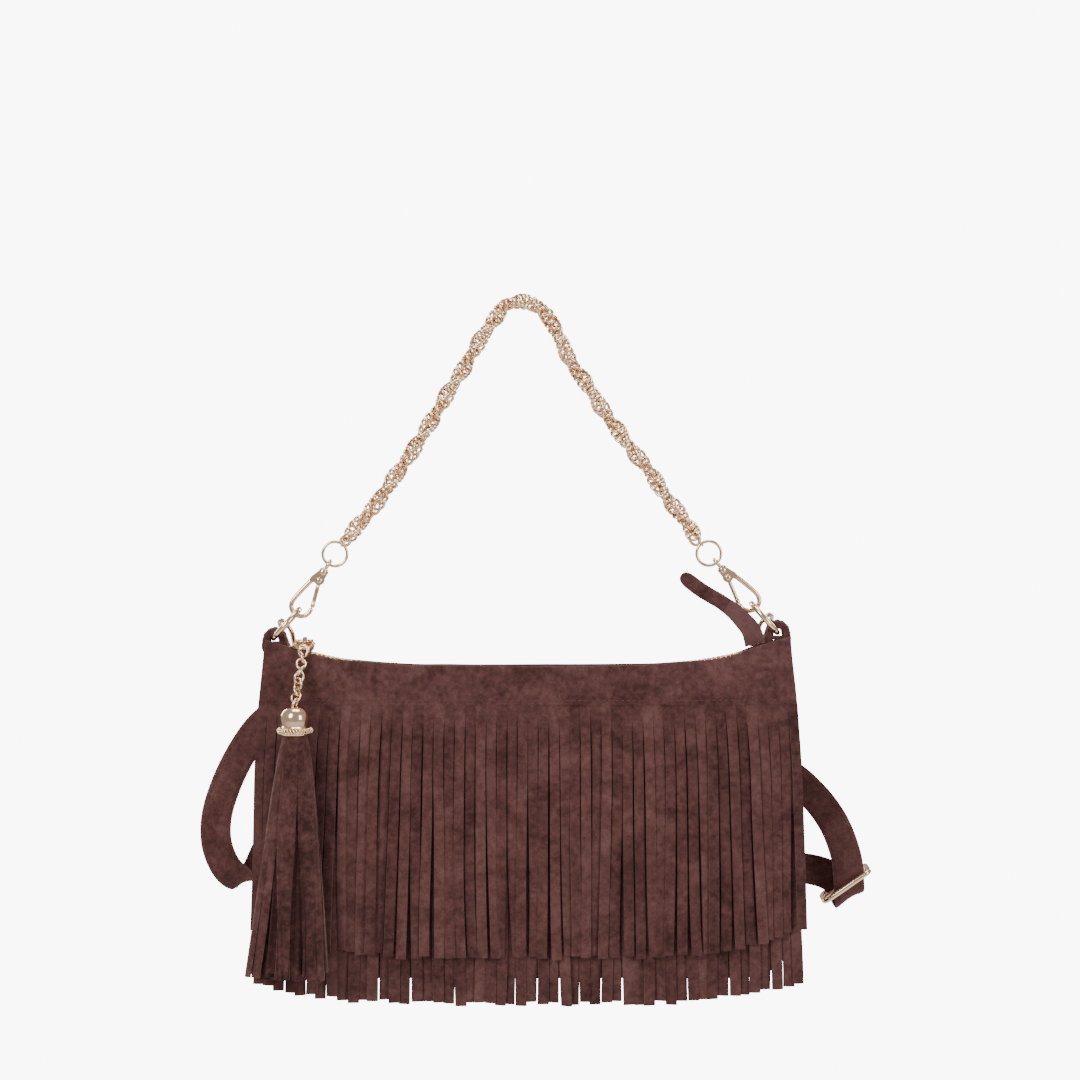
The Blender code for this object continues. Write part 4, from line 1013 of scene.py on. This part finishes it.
def make_tabs():
    """A suede strip looped over each large ring and sewn into the bag's end."""
    for side, (x, z) in TABS.items():
        leg = [(x - 1.35, TAB_FOOT_Z), (x - 1.4, z - 10.5), (x - 2.6, z - 7.4), (x - 4.6, z - 4.0)]
        path = [Vector((a, 0, b)) for a, b in leg]
        path += arc(x, z, TAB_PATH_R, 172, 8, 16)
        path += [Vector((2 * x - a, 0, b)) for a, b in reversed(leg)]
        path = smooth_route(path, 0.9)
        rings = []
        for i, p in enumerate(path):
            along = (path[min(i + 1, len(path) - 1)] - path[max(i - 1, 0)]).normalized()
            out = Vector((-along.z, 0, along.x))
            rings.append([p + Vector((0, a, 0)) + out * o for a, o in strip_section(TAB_WIDTH, 4.2, 0.0, 8)])
        bm = bmesh.new()
        skin(bm, rings)
        below = (z - RINGS[side][0].z + RING_WIRE_R + 0.5) / 4.2
        half_open = math.degrees(math.asin(below))
        plate(bm, arc(x, z, 4.2, 180 + half_open, 360 - half_open, 12), -4.0, 4.0, 0.5)
        finish_piece(f"tab_{side}_suede", bm, suede("brushed_suede_band", 1.0, 0.8), "bag", (f"tab_{side}",))


def make_stitching():
    """Stitch lines: along both bands above the seam and on the tabs."""
    pitch = bpy.context.scene.bag_fabric.stitch_pitch
    paths = []
    for side in (-1, 1):
        line = []
        for k in range(241):
            u = -0.985 + 1.97 * k / 240
            z = SEAM_Z + SEAM_STITCH_RISE
            swell = 0.5 * math.sin(math.pi * (z - SEAM_Z) / (band_top_z(u * HALF_WIDTH_TOP, side) - SEAM_Z))
            p = face_point(u, z, -swell - 0.05, side)
            p.y += ripple(p, 16.0, 0.55)
            line.append(p)
        paths.append(line)
    for side, (x, z) in TABS.items():
        for y in (-TAB_WIDTH / 2 + 1.4, TAB_WIDTH / 2 - 1.4):
            paths.append([p + Vector((0, y, 0)) for p in arc(x, z, TAB_PATH_R + 2.1, 178, 2, 14)])
    grow("suede_stitches", stitches_along_path(), paths,
         {"Pitch": pitch, "Length": pitch * 0.72, "Thickness": 0.00062}, thread(), "bag")


# ---- fringe -------------------------------------------------------------------------------------------

def make_fringe_tier(name, node, tier, sink, inset, rng, cut_top, trim, wander):
    """One tier: strips cut from one sheet, hanging from its uncut upper margin."""
    fabric = bpy.context.scene.bag_fabric
    top_z, low_z, rise = tier
    count, thick = fabric.strips, fabric.strip_thick / MM
    bm = bmesh.new()
    shades = bm.verts.layers.float.new("shade")
    margin = []
    for i in range(121):
        u = -1 + 2 * i / 120
        levels = [top_z - drop for drop in (-1.2, 0.0, 1.5, 3.0, 4.5)]
        margin.append([face_point(u, z, sink + 0.45, inset=inset) for z in levels]
                      + [face_point(u, z, sink + 0.45 + thick, inset=inset) for z in reversed(levels)])
    skin(bm, margin)
    pitch = 2.0 / count
    drift = 0.0
    for i in range(count):
        u0 = -1 + pitch * (i + 0.5)
        drift = 0.5 * drift + rng.uniform(-wander, wander)
        spread = drift + u0 * 1.6
        length_off = rng.uniform(-1.5, 1.1)
        bottom = low_z + rise * abs(u0) ** 4 + length_off
        layer = (0.55 if i % 2 else -0.35) + rng.uniform(-0.35, 0.5)
        sway, phase = rng.uniform(-0.9, 0.9), rng.uniform(0, 6.3)
        twist, curl = rng.uniform(-0.32, 0.32), rng.uniform(-0.75, 0.75)
        puff = max(0.0, rng.gauss(0.0, 1.1))
        shade = rng.uniform(-0.38, 0.30)
        slit = (2.0 + cut_top * rng.random()) / (top_z - bottom)
        width_top = 2 * half_width(top_z) / count
        spine, widths, curls = [], [], []
        steps = 20
        for k in range(steps + 1):
            s = (k / steps) ** 1.25
            z = top_z + 1.2 + (bottom - top_z - 1.2) * s
            loose = min(max((s - slit) * 9, 0.0), 1.0)
            u = u0 + (spread * s * s + sway * math.sin(phase + 5 * s) * s) / HALF_WIDTH_FULL
            u = max(min(u, 1.012), -1.012)
            out = face_outward(max(min(u, 0.985), -0.985), z)
            p = face_point(u, z, sink + thick / 2 + 0.15, inset=inset)
            p += out * ((layer + puff * s) * loose + 0.25 * math.sin(phase + 7 * s) * s)
            across = Vector((-out.y, out.x, 0))
            turn = Matrix.Rotation(twist * s ** 1.5, 3, "Z")
            spine.append((p, turn @ across, turn @ out))
            widths.append(width_top * (1.02 - trim * loose) + 0.3 * s)
            curls.append(curl * s)
        hang_strip(bm, shades, spine, widths, thick, curls, shade)
    piece = finish_piece(name, bm, suede("brushed_suede_fringe", 1.0, 0.75), "bag", (node,),
                         50.0)
    return piece


def make_fringe():
    rng = random.Random(bpy.context.scene.bag_fabric.seed)
    make_fringe_tier("fringe_upper_strips", "fringe_upper", UPPER_TIER, 0.0, 0.0, rng, 5.5, 0.10, 2.5)
    make_fringe_tier("fringe_lower_strips", "fringe_lower", LOWER_TIER, LOWER_TIER_SINK, 1.0, rng, 2.0, 0.02, 0.9)


# ---- zip ------------------------------------------------------------------------------------------------

def make_zip():
    """Zip tapes that sag with the top edge, two rows of teeth, the tail and its end tab."""
    for word, side in (("front", -1), ("back", 1)):
        bm = bmesh.new()
        rings = []
        for k in range(97):
            x = ZIP_ENDS[0] + (ZIP_ENDS[1] - ZIP_ENDS[0]) * k / 96
            high = zip_z(x) - 1.1
            reach = interpolate(MIDDLE_DEPTH, edge_z(x)) - BAND_THICK - 0.7
            low = min(high, edge_z(x) - 1.8) - 1.2
            outer = [(0.25, high), (3.6, high - 0.1), (5.6, high - 0.5), (reach - 1.0, low + 0.3), (reach, low)]
            ring = [(y, z) for y, z in outer] + [(y, z - 0.7) for y, z in reversed(outer)]
            rings.append([Vector((x, side * y, z + ripple((x, y * side, 0), 9.0, 0.25))) for y, z in ring])
        skin(bm, rings)
        finish_piece(f"zip_tape_{word}_woven", bm, tape_cloth(), "bag", (f"zip_tape_{word}",))
    metal = bpy.context.scene.bag_metal
    rows = []
    for side, start in ((-1, 0.0), (1, metal.tooth_pitch / MM / 2)):
        rows.append([Vector((x, side * 1.05, zip_z(x))) for x in
                     (ZIP_ENDS[0] + 0.8 + start + (ZIP_ENDS[1] - ZIP_ENDS[0] - 4) * k / 160 for k in range(161))])
    grow("zip_teeth_rows", teeth_along_path(), rows,
         {"Pitch": metal.tooth_pitch, "Width": 0.0034, "Length": 0.00112, "Thickness": 0.0016},
         gold(), "bag", replaces=("zip_teeth",))
    make_tail()


def ribbon_frames(route, spacing_steps):
    """Points along a strip with its direction across, turned as the route's fourth value says."""
    points, lies = [], []
    for k in range(len(route) - 1):
        for step in range(spacing_steps):
            t = step / spacing_steps
            points.append(catmull(route, k, t))
            lies.append(math.radians(route[k][3] + (route[k + 1][3] - route[k][3]) * t))
    points.append(Vector(route[-1][:3]))
    lies.append(math.radians(route[-1][3]))
    frames = []
    for i, p in enumerate(points):
        along = (points[min(i + 1, len(points) - 1)] - points[max(i - 1, 0)]).normalized()
        across = Vector((math.cos(lies[i]), 0, math.sin(lies[i])))
        across = (across - along * across.dot(along)).normalized()
        frames.append((p, across, across.cross(along)))
    return frames


def make_tail():
    """The end of the zip beyond the bag's right end: tape, its last teeth and a suede tab."""
    frames = ribbon_frames(TAIL_ROUTE, 9)
    bm = bmesh.new()
    rings = []
    for i, (p, across, deep) in enumerate(frames):
        share = i / (len(frames) - 1)
        width = 10.5 - 3.4 * share ** 1.5
        rings.append([p + across * a + deep * o for a, o in strip_section(width, 1.1, 0.22, 8)])
    skin(bm, rings)
    finish_piece("zip_tail_woven", bm, tape_cloth(), "bag", ("zip_tail",))
    metal = bpy.context.scene.bag_metal
    rows = [[p - deep * 0.75 + across * side * 1.3 for p, across, deep in frames[:-4]] for side in (-1, 1)]
    grow("zip_tail_teeth", teeth_along_path(), rows,
         {"Pitch": metal.tooth_pitch, "Width": 0.0016, "Length": 0.0011, "Thickness": 0.0026},
         gold(), "bag")
    frames = ribbon_frames(((101.5, -5.4, -154.6, 60),) + END_TAB_ROUTE, 10)
    rings = []
    for i, (p, across, deep) in enumerate(frames):
        share = i / (len(frames) - 1)
        width = 7.6 * math.sqrt(max(1 - max((share - 0.8) / 0.2, 0.0) ** 2.2, 0.05))
        swell = 3.2 * (0.8 + 0.2 * math.sin(share * math.pi))
        rings.append([p + across * a + deep * o for a, o in strip_section(width, swell, 0.0, 8)])
    bm = bmesh.new()
    skin(bm, rings)
    finish_piece("zip_end_tab_suede", bm, suede("brushed_suede_band", 1.0, 0.8), "bag", ("zip_end_tab",))
    path = [[p - deep * 1.62 + across * 2.6 for p, across, deep in frames[2:-5]],
            [p - deep * 1.62 - across * 2.6 for p, across, deep in frames[2:-5]]]
    grow("zip_end_tab_stitches", stitches_along_path(), path,
         {"Pitch": 0.0026, "Length": 0.0019, "Thickness": 0.0005}, thread(), "bag")


# ---- tassel ---------------------------------------------------------------------------------------------

def make_tassel():
    """Puller ring, curb chain, turned cap with a roped rim, and the skirt of suede strips."""
    bm = bmesh.new()
    radius = (TASSEL_PIVOT - PULLER_PIVOT).length / 2
    torus(bm, (PULLER_PIVOT + TASSEL_PIVOT) / 2, TASSEL_PIVOT - PULLER_PIVOT, (1, 0, 0), radius, 0.8, 48, 14)
    finish_piece("puller_ring_round", bm, gold(), "puller", ("puller_ring",))
    start = TASSEL_PIVOT + Vector((0, -0.4, -1.2))
    end = TASSEL_CAP + Vector((0, 0, 0.9))
    path = [start.lerp(end, k / 20) for k in range(21)]
    grow("tassel_chain_links", links_along_path(), [path],
         {"Pitch": 0.0034, "Link radius": 0.0024, "Wire radius": 0.00072, "Stretch": 1.25,
          "Turn per link": math.radians(78.0), "Lean": math.radians(72.0)},
         gold(), "tassel", replaces=("tassel_chain",))
    bm = bmesh.new()
    turned(bm, CAP_PROFILE, TASSEL_CAP, 72)
    finish_piece("tassel_cap_polished", bm, gold(), "tassel", ("tassel_cap",))
    rim = []
    for k in range(61):
        a = 2 * math.pi * k / 60
        rim.append(TASSEL_CAP + Vector((7.75 * math.cos(a), 7.75 * math.sin(a), -12.6)))
    grow("tassel_rim_rope", links_along_path(), [rim],
         {"Pitch": 0.00145, "Link radius": 0.00125, "Wire radius": 0.00045, "Stretch": 1.15,
          "Turn per link": 0.0, "Lean": math.radians(34.0)}, gold(), "tassel")
    make_skirt()


def make_skirt():
    rng = random.Random(bpy.context.scene.bag_fabric.seed + 4)
    outer_count = bpy.context.scene.bag_fabric.tassel_strips
    bm = bmesh.new()
    shades = bm.verts.layers.float.new("shade")
    for tier, (count, share_r, thick, width0) in enumerate(((outer_count, 1.0, 1.35, 3.3),
                                                            (outer_count - 3, 0.7, 1.35, 2.8),
                                                            (8, 0.34, 1.3, 2.2))):
        for i in range(count):
            angle = 2 * math.pi * (i + 0.5 * tier) / count + rng.uniform(-0.05, 0.05)
            drift = rng.uniform(-0.3, 0.3)
            curl = rng.uniform(0.7, 2.7) * (1 if rng.random() < 0.75 else -1)
            twist = rng.uniform(-0.8, 0.8)
            reach = rng.uniform(0.92, 1.26) if tier == 0 else rng.uniform(0.8, 1.25)
            length = SKIRT_LENGTH * rng.uniform(0.955, 1.0)
            # Random tone per strip, plus painted shade: each tier further inside the skirt is painted darker.
            shade = rng.uniform(-0.5, 0.25) - 0.45 * tier
            phase = rng.uniform(0, 6.3)
            spine, widths, curls = [], [], []
            for k in range(19):
                s = k / 18
                half_x = (6.4 + 13.4 * s ** 0.75 - 0.9) * share_r * (1 + (reach - 1) * s)
                half_y = (6.2 + 1.2 * s - 0.7) * share_r
                a = angle + drift * s + 0.05 * math.sin(phase + 6 * s) * s
                p = Vector((TASSEL_CAP.x - 2.0 * s + half_x * math.cos(a),
                            TASSEL_CAP.y - 12.0 * s + half_y * math.sin(a), SKIRT_TOP_Z - length * s))
                out = Vector((math.cos(a) / half_x, math.sin(a) / half_y, 0)).normalized()
                turn = Matrix.Rotation(twist * s, 3, "Z")
                spine.append((p, turn @ Vector((-out.y, out.x, 0)), turn @ out))
                widths.append(width0 + (6.9 - width0) * min(s * 2.2, 1.0))
                curls.append(curl * min(0.25 + s, 1.0))
            hang_strip(bm, shades, spine, widths, thick, curls, shade)
    finish_piece("tassel_skirt_strips", bm, suede("brushed_suede_tassel", 0.96, 1.0), "tassel",
                 ("tassel_skirt",), 50.0)


# ---- strap ------------------------------------------------------------------------------------------------

def make_strap():
    """The long strap with stitched edges, and the frame and bar that set its length."""
    frames = ribbon_frames(STRAP_ROUTE, 9)
    bm = bmesh.new()
    section = strip_section(STRAP_WIDTH, STRAP_THICK, 0.0, 8)
    rings = []
    for p, across, deep in frames:
        rings.append([p + across * a + deep * o for a, o in section])
    rows = skin(bm, rings)
    bm.faces.ensure_lookup_table()
    reverse = set()
    for row in rows:
        reverse.update(row[len(section) // 2:])
    for face in bm.faces:
        if all(v in reverse for v in face.verts):
            face.material_index = 1
    # The reverse face takes a darker copy of the strap suede: painted shade on the strap's inner side.
    strap = finish_piece("strap_suede", bm,
                         [suede("brushed_suede_strap", 1.28, 0.7), suede("suede_reverse_painted_shade", 1.1, 0.6)],
                         "bag", ("strap",))
    lines = []
    for face_side in (1, -1):
        for edge in (-1, 1):
            lines.append([p + across * edge * (STRAP_WIDTH / 2 - 1.9) + deep * face_side * (STRAP_THICK / 2 + 0.02)
                          for p, across, deep in frames])
    stitches = grow("strap_stitches", stitches_along_path(), lines,
                    {"Pitch": 0.0034, "Length": 0.0025, "Thickness": 0.00055}, thread(), "bag")
    bm = bmesh.new()
    along, across = Vector((math.cos(BUCKLE_LIE), 0, math.sin(BUCKLE_LIE))), Vector((0, 1, 0))
    corners = []
    half_l, half_w, r = 14.0, 9.0, 2.6
    for cx, cy, start in ((1, 1, 0), (-1, 1, 90), (-1, -1, 180), (1, -1, 270)):
        for k in range(9):
            a = math.radians(start + 90 * k / 8)
            corners.append(BUCKLE_CENTRE + along * (cx * (half_l - r) + r * math.cos(a))
                           + across * (cy * (half_w - r) + r * math.sin(a)))
    tube(bm, corners, 1.4, 16, closed=True)
    buckle = finish_piece("buckle_frame_polished", bm, gold(), "bag", ("buckle_frame",))
    bm = bmesh.new()
    reach = half_l - 1.7
    tube(bm, [BUCKLE_CENTRE + along * reach * k / 6 for k in range(-6, 7)], 1.1, 14, round_ends=True)
    bar = finish_piece("buckle_bar_polished", bm, gold(), "bag", ("buckle_bar",))


def dress_frame_parts():
    """Gives the frame's own visible parts their finish."""
    for node in ("zip_slider", "zip_stop_left", "zip_stop_right"):
        part = bpy.data.objects[node] if node in bpy.data.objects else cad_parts[node]
        if part.material_slots:
            for slot in part.material_slots:
                slot.link = "OBJECT"
                slot.material = gold()


# ---- studio ------------------------------------------------------------------------------------------------

FLOOR_REACH, FLOOR_Z = 2.5, -1.2
AIR_STRENGTH, WHITE_SEEN_STRENGTH = 0.5, 9.0


def make_floor():
    """A pale studio floor under the hanging bag."""
    colour = bpy.context.scene.bag_studio.floor_colour
    mat, tree, shader, coords = new_material("studio_floor_paper")
    tone = add_node(tree, "ShaderNodeTexNoise", {"Vector": coords, "Scale": 3.0, "Detail": 2.0})
    mix = add_node(tree, "ShaderNodeMix", {"Factor": tone.outputs["Fac"]}, data_type="RGBA")
    mix.inputs[6].default_value = (*(c * 0.99 for c in colour), 1.0)
    mix.inputs[7].default_value = (*colour, 1.0)
    tree.links.new(mix.outputs[2], shader.inputs["Base Color"])
    shader.inputs["Roughness"].default_value = 0.95
    shader.inputs["Specular IOR Level"].default_value = 0.1
    bm = bmesh.new()
    bm.faces.new([bm.verts.new((x * FLOOR_REACH, y * FLOOR_REACH, FLOOR_Z))
                  for x, y in ((-1, -1), (1, -1), (1, 1), (-1, 1))])
    mesh = bpy.data.meshes.new("studio_floor")
    bm.to_mesh(mesh)
    bm.free()
    mesh.materials.append(mat)
    mesh.shade_smooth()
    add_object("studio_floor", mesh)


def add_light(name, at, target, size, power):
    light = bpy.data.lights.new(name, "AREA")
    light.shape = "RECTANGLE"
    light.size, light.size_y = size
    light.energy = power * bpy.context.scene.bag_studio.light_scale
    lamp = add_object(name, light)
    lamp.location = at
    lamp.rotation_euler = (Vector(target) - Vector(at)).to_track_quat("-Z", "Y").to_euler()


def make_studio():
    make_floor()
    middle = (0.0, 0.0, -0.22)
    add_light("key_softbox", (-1.1, -1.5, 0.7), middle, (0.7, 1.0), 38.0)
    add_light("fill_softbox", (1.3, -1.3, 0.1), middle, (0.6, 1.2), 20.0)
    add_light("top_softbox", (0.0, -0.1, 1.3), middle, (1.0, 0.6), 18.0)
    add_light("back_softbox_left", (-1.2, 1.4, 0.4), middle, (0.8, 1.2), 30.0)
    add_light("back_softbox_right", (1.2, 1.4, 0.4), middle, (0.8, 1.2), 30.0)
    world = bpy.data.worlds.new("studio_air")
    world.use_nodes = True
    tree = world.node_tree
    air = tree.nodes["Background"]
    air.inputs["Color"].default_value = (1.0, 1.0, 1.0, 1.0)
    air.inputs["Strength"].default_value = AIR_STRENGTH
    # The camera sees a bright white; everything else is lit by a much weaker one.
    white = add_node(tree, "ShaderNodeBackground",
                     {"Color": (1.0, 1.0, 1.0, 1.0), "Strength": WHITE_SEEN_STRENGTH})
    seen = add_node(tree, "ShaderNodeLightPath")
    mix = add_node(tree, "ShaderNodeMixShader", {0: seen.outputs["Is Camera Ray"]})
    tree.links.new(air.outputs[0], mix.inputs[1])
    tree.links.new(white.outputs[0], mix.inputs[2])
    tree.links.new(mix.outputs[0], tree.nodes["World Output"].inputs["Surface"])
    bpy.context.scene.world = world
    studio = bpy.context.scene.bag_studio
    lens = bpy.data.cameras.new("front_camera")
    lens.lens = studio.focal_length
    lens.sensor_width = 36.0
    camera = add_object("front_camera", lens)
    distance = 0.555 * studio.focal_length / lens.sensor_width
    rise = math.radians(3.0)
    target = Vector((0.0062, 0.0, -0.1215))
    camera.location = target + Vector((0, -math.cos(rise), math.sin(rise))) * distance
    camera.rotation_euler = (target - camera.location).to_track_quat("-Z", "Y").to_euler()
    bpy.context.scene.camera = camera


# ---- add-on ------------------------------------------------------------------------------------------------

class BAG_OT_chain(bpy.types.Operator):
    """Twist two strands of wire links into the rope-chain handle"""

    bl_idname = "fringed_bag.chain"
    bl_label = "Handle chain"
    bl_options = {"REGISTER", "UNDO"}

    def execute(self, context):
        make_chain()
        return {"FINISHED"}


class BAG_OT_rings(bpy.types.Operator):
    """Make the handle's O-rings and the bag's large rings"""

    bl_idname = "fringed_bag.rings"
    bl_label = "Rings"
    bl_options = {"REGISTER", "UNDO"}

    def execute(self, context):
        make_rings()
        return {"FINISHED"}


class BAG_OT_hooks(bpy.types.Operator):
    """Make the handle's and the strap's swivel hooks"""

    bl_idname = "fringed_bag.hooks"
    bl_label = "Hooks"
    bl_options = {"REGISTER", "UNDO"}

    def execute(self, context):
        make_hooks()
        return {"FINISHED"}


class BAG_OT_bands(bpy.types.Operator):
    """Make the front and back top bands with their rolled edge"""

    bl_idname = "fringed_bag.bands"
    bl_label = "Top bands"
    bl_options = {"REGISTER", "UNDO"}

    def execute(self, context):
        make_bands()
        return {"FINISHED"}


class BAG_OT_panels(bpy.types.Operator):
    """Make the panels, the gusset and the lining pouch"""

    bl_idname = "fringed_bag.panels"
    bl_label = "Panels and lining"
    bl_options = {"REGISTER", "UNDO"}

    def execute(self, context):
        make_panels()
        return {"FINISHED"}


class BAG_OT_tabs(bpy.types.Operator):
    """Loop a suede strip over each large ring"""

    bl_idname = "fringed_bag.tabs"
    bl_label = "Side tabs"
    bl_options = {"REGISTER", "UNDO"}

    def execute(self, context):
        make_tabs()
        return {"FINISHED"}


class BAG_OT_stitching(bpy.types.Operator):
    """Sew the stitch lines of the bands and tabs"""

    bl_idname = "fringed_bag.stitching"
    bl_label = "Stitching"
    bl_options = {"REGISTER", "UNDO"}

    def execute(self, context):
        make_stitching()
        return {"FINISHED"}


class BAG_OT_fringe(bpy.types.Operator):
    """Cut both tiers of the fringe and let them hang"""

    bl_idname = "fringed_bag.fringe"
    bl_label = "Fringe"
    bl_options = {"REGISTER", "UNDO"}

    def execute(self, context):
        make_fringe()
        return {"FINISHED"}


class BAG_OT_zip(bpy.types.Operator):
    """Make the zip's tapes, teeth, tail and end tab"""

    bl_idname = "fringed_bag.zip"
    bl_label = "Zip"
    bl_options = {"REGISTER", "UNDO"}

    def execute(self, context):
        make_zip()
        return {"FINISHED"}


class BAG_OT_tassel(bpy.types.Operator):
    """Make the puller ring, chain, cap and skirt of the tassel"""

    bl_idname = "fringed_bag.tassel"
    bl_label = "Tassel"
    bl_options = {"REGISTER", "UNDO"}

    def execute(self, context):
        make_tassel()
        return {"FINISHED"}


class BAG_OT_strap(bpy.types.Operator):
    """Make the strap with its stitching and buckle"""

    bl_idname = "fringed_bag.strap"
    bl_label = "Strap"
    bl_options = {"REGISTER", "UNDO"}

    def execute(self, context):
        make_strap()
        return {"FINISHED"}


class BAG_OT_frame_parts(bpy.types.Operator):
    """Give the frame's own slider and stops their plating"""

    bl_idname = "fringed_bag.frame_parts"
    bl_label = "Frame parts"
    bl_options = {"REGISTER", "UNDO"}

    def execute(self, context):
        dress_frame_parts()
        return {"FINISHED"}


class BAG_OT_studio(bpy.types.Operator):
    """Set up the floor, the lights and the camera"""

    bl_idname = "fringed_bag.studio"
    bl_label = "Studio"
    bl_options = {"REGISTER", "UNDO"}

    def execute(self, context):
        make_studio()
        return {"FINISHED"}


STEPS = (BAG_OT_chain, BAG_OT_rings, BAG_OT_hooks, BAG_OT_bands,
         BAG_OT_panels, BAG_OT_tabs, BAG_OT_stitching, BAG_OT_fringe,
         BAG_OT_zip, BAG_OT_tassel, BAG_OT_strap, BAG_OT_frame_parts,
         BAG_OT_studio)


class BAG_PT_sidebar(bpy.types.Panel):
    """The bag's settings, and a button for each group of pieces"""

    bl_idname = "BAG_PT_sidebar"
    bl_label = "Fringed Bag"
    bl_space_type = "VIEW_3D"
    bl_region_type = "UI"
    bl_category = "Bag"

    def draw(self, context):
        for group in (context.scene.bag_fabric, context.scene.bag_metal, context.scene.bag_studio):
            box = self.layout.box()
            for key in group.__annotations__:
                box.prop(group, key)
        for step in STEPS:
            self.layout.operator(step.bl_idname)


SETTINGS = {"bag_fabric": BagFabric, "bag_metal": BagMetal, "bag_studio": BagStudio}


def register():
    for key, group in SETTINGS.items():
        bpy.utils.register_class(group)
        setattr(bpy.types.Scene, key, bpy.props.PointerProperty(type=group))
    for cls in (*STEPS, BAG_PT_sidebar):
        bpy.utils.register_class(cls)


def unregister():
    for cls in reversed((*STEPS, BAG_PT_sidebar)):
        bpy.utils.unregister_class(cls)
    for key, group in SETTINGS.items():
        delattr(bpy.types.Scene, key)
        bpy.utils.unregister_class(group)


def main():
    register()
    for step in STEPS:
        family, action = step.bl_idname.split(".")
        done = getattr(getattr(bpy.ops, family), action)()
        if done != {"FINISHED"}:
            raise RuntimeError(f"{step.bl_label} didn't finish")


if __name__ == "__main__":
    main()
